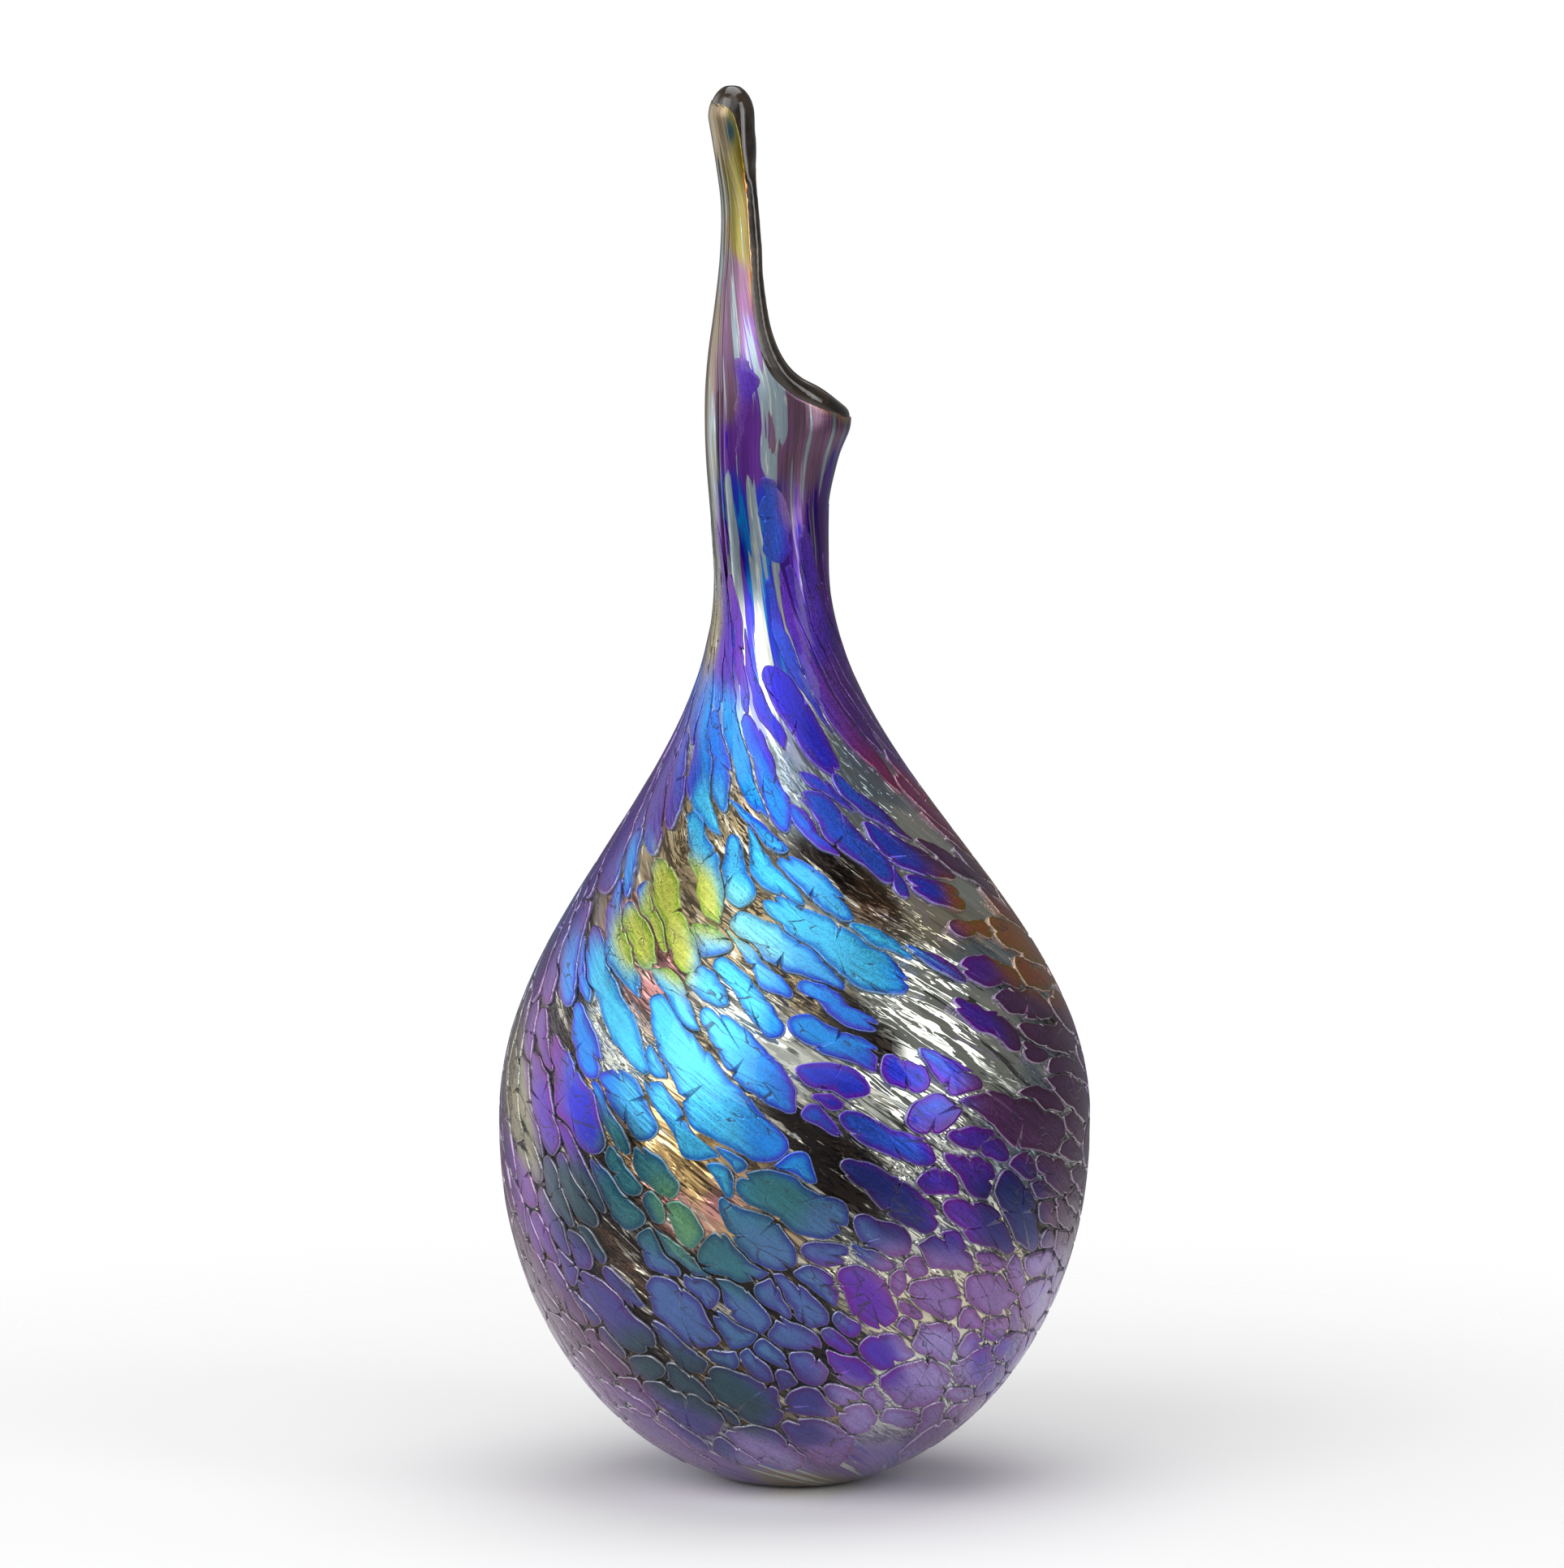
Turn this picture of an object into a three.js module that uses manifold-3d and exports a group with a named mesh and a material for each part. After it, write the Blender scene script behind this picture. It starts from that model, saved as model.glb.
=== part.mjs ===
// Hand blown art glass vase: a teardrop body, a long leaning neck and an oblique mouth whose
// back edge is pulled up into a tall gutter-shaped spire. Millimetres, +Z up.
// The origin is the centre of the ground base. +X points from the spire to the low lip, and
// the front of the vase faces -Y.
import * as THREE from "three";
import { mergeVertices } from "three/addons/utils/BufferGeometryUtils.js";
import Module from "manifold-3d";

// ---------------------------------------------------------------- driving dimensions
const HEIGHT = 398; // floor to the tip of the spire
const BELLY_RADIUS = 84.5; // widest part of the body
const BELLY_Z = 100; // height of the widest part
const BELLY_DROP = 103; // vertical half-axis of the lower half, cut flat at the floor
const NECK_RADIUS = 16.5; // narrowest part of the neck
const NECK_Z = 266; // height of the narrowest part
const SHOULDER_FULLNESS = 0.022; // how much the shoulder swells beyond a plain cosine
const LEAN = -7.1; // sideways drift of the neck's centre
const LEAN_START_Z = 110;
const LEAN_END_Z = 290;
const TIP_Z = 389; // where the spire's round tip starts to close
const TIP_ROUNDING = 9.3; // upright half-axis of the tip, which ends in a small flat at HEIGHT
const HOLLOW_CLOSING_Z = 366; // where the gutter starts to close
const HOLLOW_TOP_Z = 379; // where the gutter ends in solid glass
const HOLLOW_ROUNDING = 13.4; // upright half-axis of the gutter's end
const HOLLOW_FLOOR_ANGLE = 0.1; // the hollow's floor is flat within this angle of straight down

// How far each surface lies inside the outside of the vase: side wall and floor.
const SKIN = { side: 0, floor: 0 };
const CHIP_UNDERSIDE = { side: 0.9, floor: 0.45 };
const CASING_OUTSIDE = { side: 1.2, floor: 0.6 };
const CASING_INSIDE = { side: 2.7, floor: 1.6 };
const CORE_OUTSIDE = { side: 3.0, floor: 1.9 };
const HOLLOW = { side: 6.5, floor: 12 };
const SPIRE_THINNING = 0.28; // share by which the walls get thinner up the spire
const SPIRE_THIN_FROM_Z = 300;
const SPIRE_THIN_TO_Z = 350;

// The neck above its narrowest part, the flared mouth and the spire: height, the leftmost and
// rightmost point of the section, and half its depth from front to back.
const MOUTH_STATIONS = [
  { z: 266, left: -23.3, right: 9.7, depth: 16.5 },
  { z: 280, left: -24.4, right: 9.9, depth: 16.9 },
  { z: 292, left: -25.3, right: 12.4, depth: 17.4 },
  { z: 302, left: -25.6, right: 15.3, depth: 17.9 },
  { z: 312, left: -25.5, right: 15.0, depth: 18.0 },
  { z: 322, left: -24.7, right: 10.0, depth: 16.8 },
  { z: 336, left: -22.8, right: 1.5, depth: 13.4 },
  { z: 350, left: -21.3, right: -4.2, depth: 10.3 },
  { z: 364, left: -21.0, right: -6.2, depth: 8.6 },
  { z: 377, left: -22.6, right: -10.2, depth: 7.2 },
  { z: 389, left: -24.6, right: -11.0, depth: 6.8 },
];

// The sheared mouth, seen from the front, as (x, z): from outside the low lip, up the
// spire's edge. The core is cut short below the spire's tip, which stays whole.
const LIP_CUT = [[40, 297], [15.4, 301], [13, 304.6], [7, 308.6], [0, 312], [-5.5, 317.6], [-9, 326]];
const SPIRE_CUT = [[-11.3, 338], [-12.8, 352], [-13.4, 364]];
const CORE_TIP_CUT = [[-12.2, 375], [-8, 382], [2, 387], [40, 393]];
const CASING_TIP_CUT = [[-14.4, 377], [-16.4, 387], [-20, 392.5], [-30, 394]];
const CUT_STEPS = 30;
const CUT_REACH = 60; // how far the cutter reaches beyond the glass
const FIT_GAP = 0.3; // clearance between pieces that touch

const BEAD_RADIUS = 3; // fire-polished rim
const BEAD_SIDES = 8;
const BEAD_STEPS = 44;
const BEAD_TOP_Z = 376; // where the bead crosses over below the spire's tip
const BEAD_LIP_SHARE = 0.02; // how close to the low lip's end the bead's two sides are joined
const BEAD_SAMPLES = 1200;
const BEAD_SAMPLE_STEP = 24;

const COLUMNS = 24; // facets round the vase
const LOWER_ROWS = 7;
const UPPER_ROWS = 10;
const MOUTH_ROWS = 11;
const TIP_ROWS = 3;

// Glass colours, as [colour, roughness, metalness].
const GLASS = {
  dark: [0x1c1412, 0.12, 0.1],
  lustre: [0xb4b4a4, 0.12, 0.85],
  cyan: [0x3fb4ea, 0.35, 0.55],
  sky: [0x1d86e0, 0.35, 0.55],
  cobalt: [0x2438cf, 0.35, 0.55],
  violet: [0x5423b4, 0.35, 0.55],
  mauve: [0x82609a, 0.35, 0.5],
  lilac: [0x8f7cb8, 0.4, 0.45],
  lime: [0xbcc455, 0.35, 0.5],
  teal: [0x3f7479, 0.38, 0.5],
  slate: [0x46648c, 0.4, 0.5],
  navy: [0x1d2568, 0.35, 0.55],
  amber: [0xa0582e, 0.35, 0.55],
};

// The largest chips of coloured glass, laid out on the front and back elevations. Each goes
// from one (x, z) to another, and is so many millimetres wide. x is measured from the base's
// centre, towards the right of someone who faces that side.
const FRONT_CHIPS = [
  ["cobalt", [-8, 236], [11, 205], 9],
  ["cobalt", [-14, 222], [-2, 190], 6],
  ["sky", [-23, 223], [-20, 196], 5],
  ["cyan", [-30, 197], [-21, 166], 7],
  ["cyan", [-19, 189], [-14, 170], 8],
  ["sky", [-5, 185], [15, 168], 7],
  ["cyan", [-9, 173], [31, 148], 12],
  ["lime", [-39, 183], [-30, 153], 8],
  ["lime", [-47, 171], [-41, 153], 6],
  ["cobalt", [1, 202], [27, 177], 9],
  ["violet", [32, 176], [47, 170], 8],
  ["amber", [44, 163], [56, 161], 6],
  ["amber", [46, 154], [64, 148], 8],
  ["sky", [0, 151], [23, 138], 6],
  ["sky", [-23, 158], [-3, 137], 8],
  ["sky", [23, 130], [38, 122], 9],
  ["cobalt", [0, 129], [20, 121], 8],
  ["cyan", [-59, 163], [-46, 127], 8],
  ["sky", [-62, 142], [-56, 123], 8],
  ["sky", [-41, 146], [-29, 128], 9],
  ["cyan", [-32, 120], [-2, 104], 12],
  ["slate", [-15, 97], [14, 84], 14],
  ["cobalt", [13, 116], [40, 101], 8],
  ["navy", [14, 103], [40, 82], 11],
  ["violet", [43, 109], [60, 101], 8],
  ["violet", [45, 144], [64, 131], 9],
  ["teal", [-53, 105], [-43, 91], 7],
  ["lime", [-36, 91], [-26, 79], 9],
  ["violet", [-61, 67], [-40, 45], 13],
  ["slate", [-41, 68], [-22, 48], 13],
  ["violet", [14, 72], [28, 54], 12],
  ["navy", [58, 96], [69, 72], 11],
  ["teal", [-41, 35], [-20, 20], 13],
  ["lilac", [34, 68], [46, 56], 11],
];
const BACK_CHIPS = [
  ["violet", [2, 238], [12, 208], 8],
  ["cobalt", [18, 226], [28, 198], 7],
  ["mauve", [-8, 214], [4, 184], 9],
  ["sky", [-26, 190], [-6, 166], 10],
  ["cobalt", [12, 186], [36, 164], 11],
  ["cyan", [-50, 164], [-30, 140], 10],
  ["lime", [-14, 154], [2, 138], 9],
  ["sky", [14, 152], [44, 134], 12],
  ["amber", [50, 146], [64, 138], 8],
  ["cobalt", [-62, 126], [-44, 106], 11],
  ["cyan", [-30, 124], [-4, 108], 12],
  ["violet", [18, 116], [44, 100], 11],
  ["navy", [-54, 84], [-34, 68], 12],
  ["slate", [-18, 92], [6, 76], 12],
  ["lilac", [26, 78], [46, 62], 13],
  ["teal", [-30, 54], [-12, 42], 12],
  ["mauve", [8, 56], [28, 42], 13],
  ["lilac", [-16, 32], [2, 24], 11],
];
const NECK_CHIPS = [
  ["cobalt", [-9, 291], [-3, 262], 7],
  ["violet", [-15, 322], [-16, 294], 5],
];
const CHIP_SIDES = 12;
const CHIP_REACH = 9; // how deep a chip's outline cuts either side of the skin
const CHIP_CORNER = 0.8; // below 1, a chip is fuller than an ellipse
const CHIP_TAPER = 0.12; // the upper end of a chip is this much narrower

// ---------------------------------------------------------------- the vase's shape
function smoothStep(value, low, high) {
  const t = Math.min(Math.max((value - low) / (high - low), 0), 1);
  return t * t * (3 - 2 * t);
}

function bodyRadius(z) {
  if (z < BELLY_Z) {
    return BELLY_RADIUS * Math.sqrt(Math.max(0, 1 - ((BELLY_Z - z) / BELLY_DROP) ** 2));
  }
  const t = (z - BELLY_Z) / (NECK_Z - BELLY_Z);
  const fall = (1 + Math.cos(Math.PI * t)) / 2 + SHOULDER_FULLNESS * Math.sin(2 * Math.PI * t);
  return NECK_RADIUS + (BELLY_RADIUS - NECK_RADIUS) * fall;
}

function bodySection(z, inset) {
  const x = LEAN * smoothStep(z, LEAN_START_Z, LEAN_END_Z);
  if (z < BELLY_Z) {
    const drop = (BELLY_Z - z) / (BELLY_DROP - inset.floor);
    const radius = (BELLY_RADIUS - inset.side) * Math.sqrt(Math.max(0, 1 - drop * drop));
    return { x, half: radius, depth: radius };
  }
  const slope = bodyRadius(z + 0.5) - bodyRadius(z - 0.5);
  const radius = bodyRadius(z) - inset.side * Math.hypot(1, slope);
  return { x, half: radius, depth: radius };
}

// A smooth curve through the mouth's stations: Catmull-Rom for stations that aren't evenly spaced.
function stationValue(z, key) {
  const last = MOUTH_STATIONS.length - 1;
  let i = 0;
  while (i < last - 1 && MOUTH_STATIONS[i + 1].z < z) {
    i += 1;
  }
  const slopeAt = (k) => {
    const a = MOUTH_STATIONS[Math.max(k - 1, 0)];
    const b = MOUTH_STATIONS[Math.min(k + 1, last)];
    return (b[key] - a[key]) / (b.z - a.z);
  };
  const from = MOUTH_STATIONS[i];
  const to = MOUTH_STATIONS[i + 1];
  const span = to.z - from.z;
  const t = Math.min((z - from.z) / span, 1);
  const ease = t * t * (3 - 2 * t);
  return (1 - ease) * from[key] + ease * to[key]
    + span * t * (1 - t) * ((1 - t) * slopeAt(i) - t * slopeAt(i + 1));
}

function mouthSection(z, inset) {
  const left = stationValue(z, "left");
  const right = stationValue(z, "right");
  const thinning = 1 - SPIRE_THINNING * smoothStep(z, SPIRE_THIN_FROM_Z, SPIRE_THIN_TO_Z);
  const side = inset.side * thinning;
  const closing = z > TIP_Z ? Math.sqrt(1 - ((z - TIP_Z) / TIP_ROUNDING) ** 2) : 1;
  return {
    x: (left + right) / 2,
    half: ((right - left) / 2 - side) * closing,
    depth: (stationValue(z, "depth") - side) * closing,
  };
}

function section(z, inset) {
  return z < NECK_Z ? bodySection(z, inset) : mouthSection(z, inset);
}

function hollowSection(z) {
  const open = section(z, HOLLOW);
  if (z < HOLLOW_CLOSING_Z) {
    return open;
  }
  const closing = Math.sqrt(1 - ((z - HOLLOW_CLOSING_Z) / HOLLOW_ROUNDING) ** 2);
  return { x: open.x, half: open.half * closing, depth: open.depth * closing };
}

// ---------------------------------------------------------------- solids
const wasm = await Module();
wasm.setup();

function toSolid(geometry) {
  const bare = geometry.clone();
  bare.deleteAttribute("normal");
  bare.deleteAttribute("uv");
  const merged = mergeVertices(bare, 1e-4);
  return new wasm.Manifold(new wasm.Mesh({
    numProp: 3,
    vertProperties: new Float32Array(merged.attributes.position.array),
    triVerts: new Uint32Array(merged.index.array),
  }));
}

function toGeometry(solid) {
  const mesh = solid.getMesh();
  const geometry = new THREE.BufferGeometry();
  geometry.setAttribute("position", new THREE.BufferAttribute(mesh.vertProperties, 3));
  geometry.setIndex(new THREE.BufferAttribute(mesh.triVerts, 1));
  return geometry;
}

// A closed skin over a stack of oval sections, with a flat or pointed end at each side.
function loft(heights, sectionAt) {
  const positions = [];
  const indices = [];
  for (const z of heights) {
    const oval = sectionAt(z);
    for (let j = 0; j < COLUMNS; j += 1) {
      const angle = (2 * Math.PI * j) / COLUMNS;
      positions.push(oval.x + oval.half * Math.cos(angle), oval.depth * Math.sin(angle), z);
    }
  }
  for (let i = 0; i < heights.length - 1; i += 1) {
    for (let j = 0; j < COLUMNS; j += 1) {
      const next = (j + 1) % COLUMNS;
      const a = i * COLUMNS + j;
      const b = i * COLUMNS + next;
      indices.push(a, b, b + COLUMNS, a, b + COLUMNS, a + COLUMNS);
    }
  }
  const ends = [[0, 0], [heights.length - 1, (heights.length - 1) * COLUMNS]];
  for (const [row, start] of ends) {
    const centre = positions.length / 3;
    positions.push(sectionAt(heights[row]).x, 0, heights[row]);
    for (let j = 0; j < COLUMNS; j += 1) {
      const next = start + ((j + 1) % COLUMNS);
      indices.push(...(row === 0 ? [centre, next, start + j] : [centre, start + j, next]));
    }
  }
  const geometry = new THREE.BufferGeometry();
  geometry.setAttribute("position", new THREE.Float32BufferAttribute(positions, 3));
  geometry.setIndex(indices);
  return toSolid(geometry);
}

function steps(count, place) {
  return Array.from({ length: count }, (_, i) => place((i + 1) / count));
}

// Row heights of the outer layers. Sharing them keeps the layers' facets parallel.
function wallHeights() {
  return [
    0,
    ...steps(LOWER_ROWS, (t) => BELLY_Z * (1 - Math.cos((t * Math.PI) / 2))),
    ...steps(UPPER_ROWS, (t) => BELLY_Z + (NECK_Z - BELLY_Z) * t),
    ...steps(MOUTH_ROWS, (t) => NECK_Z + (TIP_Z - NECK_Z) * t),
    ...steps(TIP_ROWS, (t) => TIP_Z + (HEIGHT - TIP_Z) * Math.sin((t * Math.PI) / 2)),
  ];
}

function hollowHeights() {
  const drop = BELLY_DROP - HOLLOW.floor;
  const rise = Math.PI / 2 - HOLLOW_FLOOR_ANGLE;
  return [
    BELLY_Z - drop * Math.cos(HOLLOW_FLOOR_ANGLE),
    ...steps(LOWER_ROWS, (t) => BELLY_Z - drop * Math.cos(HOLLOW_FLOOR_ANGLE + t * rise)),
    ...steps(UPPER_ROWS, (t) => BELLY_Z + (NECK_Z - BELLY_Z) * t),
    ...steps(MOUTH_ROWS, (t) => NECK_Z + (HOLLOW_CLOSING_Z - NECK_Z) * t),
    ...steps(TIP_ROWS, (t) => HOLLOW_CLOSING_Z
      + (HOLLOW_TOP_Z - HOLLOW_CLOSING_Z) * Math.sin((t * Math.PI) / 2)),
  ];
}

function layer(inset) {
  return loft(wallHeights(), (z) => section(z, inset));
}

// What the shears took away: everything beyond the cut line, right across the mouth.
function mouthCutter(points, gap) {
  const line = new THREE.SplineCurve(points.map(([x, z]) => new THREE.Vector2(x + gap, z + gap)));
  const outline = line.getPoints(CUT_STEPS);
  const last = outline[outline.length - 1];
  outline.push(new THREE.Vector2(last.x, HEIGHT + CUT_REACH));
  outline.push(new THREE.Vector2(CUT_REACH, HEIGHT + CUT_REACH));
  outline.push(new THREE.Vector2(CUT_REACH, outline[0].y));
  const block = new THREE.ExtrudeGeometry(new THREE.Shape(outline), {
    depth: 2 * CUT_REACH,
    bevelEnabled: false,
    steps: 1,
  });
  block.translate(0, 0, -CUT_REACH);
  block.rotateX(Math.PI / 2);
  return toSolid(block);
}

function darkCore() {
  const hollow = loft(hollowHeights(), hollowSection);
  const cut = mouthCutter([...LIP_CUT, ...SPIRE_CUT, ...CORE_TIP_CUT], 0);
  return layer(CORE_OUTSIDE).subtract(hollow).subtract(cut);
}

function lustreCasing() {
  const cut = mouthCutter([...LIP_CUT, ...SPIRE_CUT, ...CASING_TIP_CUT], 0);
  const inside = loft(
    [-1, ...wallHeights()],
    (z) => section(Math.max(z, 0), CASING_INSIDE),
  );
  return layer(CASING_OUTSIDE).subtract(inside).subtract(cut);
}

// The rim's centre line: where the middle of the core's wall meets the cut.
function rimPath() {
  const points = [...LIP_CUT, ...SPIRE_CUT, ...CORE_TIP_CUT];
  const line = new THREE.SplineCurve(points.map(([x, z]) => new THREE.Vector2(x, z)));
  const samples = line.getPoints(BEAD_SAMPLES);
  const near = [];
  for (const { x, y: z } of samples) {
    const outer = section(z, CORE_OUTSIDE);
    const inner = hollowSection(z);
    const half = (outer.half + inner.half) / 2;
    const depth = (outer.depth + inner.depth) / 2;
    const share = 1 - ((x - outer.x) / half) ** 2;
    if (z < BEAD_TOP_Z && share > BEAD_LIP_SHARE) {
      near.push(new THREE.Vector3(x, -depth * Math.sqrt(share), z));
    }
  }
  const kept = near.filter((_, i) => i % BEAD_SAMPLE_STEP === 0);
  const far = kept.map((p) => new THREE.Vector3(p.x, -p.y, p.z)).reverse();
  return new THREE.CatmullRomCurve3([...kept, ...far], true);
}

function rimBead() {
  const tube = new THREE.TubeGeometry(rimPath(), BEAD_STEPS, BEAD_RADIUS, BEAD_SIDES, true);
  const beyond = mouthCutter([...LIP_CUT, ...SPIRE_CUT, ...CORE_TIP_CUT], FIT_GAP);
  return toSolid(tube).intersect(beyond);
}

// ---------------------------------------------------------------- coloured chips
function skinPoint(x, z, facing) {
  const oval = section(z, SKIN);
  const share = (facing * x - oval.x) / oval.half;
  const y = -facing * oval.depth * Math.sqrt(Math.max(0, 1 - share * share));
  return new THREE.Vector3(facing * x, y, z);
}

// A rounded, slightly tapered prism that stands square on the skin and cuts one chip out of
// the chip layer.
function chipPrism(from, to, width, facing) {
  const start = skinPoint(from[0], from[1], facing);
  const end = skinPoint(to[0], to[1], facing);
  const middle = skinPoint((from[0] + to[0]) / 2, (from[1] + to[1]) / 2, facing);
  const along = end.clone().sub(start).normalize();
  const outward = new THREE.Vector3(middle.x - section(middle.z, SKIN).x, middle.y, 0).normalize();
  const across = new THREE.Vector3().crossVectors(outward, along).normalize();
  outward.crossVectors(along, across);
  const halfLength = start.distanceTo(end) / 2;
  const outline = [];
  for (let i = 0; i < CHIP_SIDES; i += 1) {
    const angle = (2 * Math.PI * i) / CHIP_SIDES;
    const c = Math.cos(angle);
    const s = Math.sin(angle);
    const taper = 1 + CHIP_TAPER * c;
    outline.push(new THREE.Vector2(
      halfLength * Math.sign(c) * Math.abs(c) ** CHIP_CORNER,
      (width / 2) * taper * Math.sign(s) * Math.abs(s) ** CHIP_CORNER,
    ));
  }
  const prism = new THREE.ExtrudeGeometry(new THREE.Shape(outline), {
    depth: 2 * CHIP_REACH,
    bevelEnabled: false,
    steps: 1,
  });
  prism.translate(0, 0, -CHIP_REACH);
  prism.applyMatrix4(new THREE.Matrix4().makeBasis(along, across, outward));
  prism.translate(middle.x, middle.y, middle.z);
  return toSolid(prism);
}

function chips() {
  const chipLayer = layer(SKIN).subtract(layer(CHIP_UNDERSIDE));
  const made = [];
  const counts = {};
  const sides = [[FRONT_CHIPS, 1], [NECK_CHIPS, 1], [BACK_CHIPS, -1]];
  for (const [list, facing] of sides) {
    for (const [colour, from, to, width] of list) {
      counts[colour] = (counts[colour] ?? 0) + 1;
      const number = String(counts[colour]).padStart(2, "0");
      const solid = chipLayer.intersect(chipPrism(from, to, width, facing));
      made.push(glassMesh(`${colour}_chip_${number}`, solid, colour));
    }
  }
  return made;
}

// ---------------------------------------------------------------- the assembly
function glassMesh(name, solid, kind) {
  const [color, roughness, metalness] = GLASS[kind];
  const material = new THREE.MeshStandardMaterial({ color, roughness, metalness });
  const mesh = new THREE.Mesh(toGeometry(solid), material);
  mesh.name = name;
  return mesh;
}

const vase = new THREE.Group();
vase.add(glassMesh("dark_core", darkCore(), "dark"));
vase.add(glassMesh("lustre_casing", lustreCasing(), "lustre"));
vase.add(glassMesh("rim_bead", rimBead(), "dark"));
vase.add(...chips());

export default vase;
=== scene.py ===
"""Looks of a hand blown art glass vase: chips of iridescent glass on a lustre casing over a dark core."""
import math
import random
import bmesh
import bpy
import numpy as np
from mathutils import Matrix, Vector, noise


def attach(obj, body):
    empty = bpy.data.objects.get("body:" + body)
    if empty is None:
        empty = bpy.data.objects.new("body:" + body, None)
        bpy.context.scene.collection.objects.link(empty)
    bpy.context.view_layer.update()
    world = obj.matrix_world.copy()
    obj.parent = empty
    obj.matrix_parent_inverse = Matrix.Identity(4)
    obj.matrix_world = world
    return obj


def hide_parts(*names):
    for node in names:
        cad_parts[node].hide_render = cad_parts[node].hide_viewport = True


RANDOM_SEED = 11
noise.seed_set(RANDOM_SEED)
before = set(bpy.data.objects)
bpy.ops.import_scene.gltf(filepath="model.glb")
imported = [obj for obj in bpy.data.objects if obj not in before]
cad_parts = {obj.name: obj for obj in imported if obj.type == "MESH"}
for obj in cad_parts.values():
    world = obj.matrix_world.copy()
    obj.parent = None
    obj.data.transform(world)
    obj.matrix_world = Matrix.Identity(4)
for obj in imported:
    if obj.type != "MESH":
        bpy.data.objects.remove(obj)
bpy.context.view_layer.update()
MM = 0.001

# ---------------------------------------------------------------- the vase's shape, as in the CAD
# Lengths here are millimetres, and meshes are scaled to metres as they are made.
HEIGHT = 398.0
BELLY_RADIUS = 84.5
BELLY_Z = 100.0
BELLY_DROP = 103.0
NECK_RADIUS = 16.5
NECK_Z = 266.0
SHOULDER_FULLNESS = 0.022
LEAN = -7.1
LEAN_START_Z = 110.0
LEAN_END_Z = 290.0
TIP_Z = 389.0
TIP_ROUNDING = 9.3
HOLLOW_SIDE = 6.5     # the wall's thickness
HOLLOW_FLOOR = 12.0
HOLLOW_CLOSING_Z = 366.0
HOLLOW_TOP_Z = 379.0
SPIRE_THINNING = 0.28   # share of the wall lost from the foot of the spire to its middle
SPIRE_THINNING_Z = (300, 350)
# Height, leftmost and rightmost point, and half the depth of the section.
STATIONS = np.array([
    (266, -23.3, 9.7, 16.5), (280, -24.4, 9.9, 16.9), (292, -25.3, 12.4, 17.4),
    (302, -25.6, 15.3, 17.9), (312, -25.5, 15.0, 18.0), (322, -24.7, 10.0, 16.8),
    (336, -22.8, 1.5, 13.4), (350, -21.3, -4.2, 10.3), (364, -21.0, -6.2, 8.6),
    (377, -22.6, -10.2, 7.2), (389, -24.6, -11.0, 6.8)], float)
# The sheared mouth seen from the front, as (x, z).
LIP_CUT = [(40, 297), (15.4, 301), (13, 304.6), (7, 308.6), (0, 312), (-5.5, 317.6), (-9, 326)]
CASING_LIP_CUT = [(40, 300.8), (15.8, 304.2), (12.5, 305.9), (7, 308.6), (0, 312), (-5.2, 317.6),
                  (-8.6, 326)]
SPIRE_CUT = [(-11.1, 338), (-12.3, 352), (-13, 364)]
CORE_TIP_CUT = [(-12.2, 375), (-8, 382), (2, 387), (40, 393)]
CASING_TIP_CUT = [(-14.1, 377), (-16, 387), (-19.4, 392.3), (-30, 394.3)]
CUT_STEPS = 600
MOUTH_Z = 301    # the casing is whole below this


def smooth_step(value, low, high):
    t = np.clip((value - low) / (high - low), 0, 1)
    return t * t * (3 - 2 * t)


def by_height(z, profile):
    """Interpolates between the values that a profile gives for some heights."""
    return np.interp(z, list(profile), list(profile.values()))


def body_radius(z):
    low = BELLY_RADIUS * np.sqrt(np.clip(1 - ((BELLY_Z - z) / BELLY_DROP) ** 2, 0, 1))
    t = (z - BELLY_Z) / (NECK_Z - BELLY_Z)
    fall = (1 + np.cos(np.pi * t)) / 2 + SHOULDER_FULLNESS * np.sin(2 * np.pi * t)
    return np.where(z < BELLY_Z, low, NECK_RADIUS + (BELLY_RADIUS - NECK_RADIUS) * fall)


def station_curve(z, column):
    """Catmull-Rom curve through the mouth's stations."""
    heights, values = STATIONS[:, 0], STATIONS[:, column]
    ahead = np.append(np.arange(1, len(heights)), len(heights) - 1)
    behind = np.append(0, np.arange(len(heights) - 1))
    slopes = (values[ahead] - values[behind]) / (heights[ahead] - heights[behind])
    i = np.clip(np.searchsorted(heights, z) - 1, 0, len(heights) - 2)
    span = heights[i + 1] - heights[i]
    t = np.clip((z - heights[i]) / span, 0, 1)
    ease = t * t * (3 - 2 * t)
    bend = span * t * (1 - t) * ((1 - t) * slopes[i] - t * slopes[i + 1])
    return (1 - ease) * values[i] + ease * values[i + 1] + bend


def section(z, side=0.0, floor=0.0):
    """Centre x, half width and half depth of the oval at each height, side mm inside the skin."""
    z = np.asarray(z, float)
    drop = (BELLY_Z - z) / (BELLY_DROP - floor)
    low = (BELLY_RADIUS - side) * np.sqrt(np.clip(1 - drop * drop, 0, 1))
    slope = body_radius(z + 0.5) - body_radius(z - 0.5)
    body = np.where(z < BELLY_Z, low, body_radius(z) - side * np.hypot(1, slope))
    lean = LEAN * smooth_step(z, LEAN_START_Z, LEAN_END_Z)
    left, right, depth = (station_curve(z, column) for column in (1, 2, 3))
    thin = side * (1 - SPIRE_THINNING * smooth_step(z, *SPIRE_THINNING_Z))
    closing = np.sqrt(np.clip(1 - (np.maximum(z - TIP_Z, 0) / TIP_ROUNDING) ** 2, 0, 1))
    neck = z >= NECK_Z
    return (np.where(neck, (left + right) / 2, lean),
            np.where(neck, ((right - left) / 2 - thin) * closing, body),
            np.where(neck, (depth - thin) * closing, body))


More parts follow.
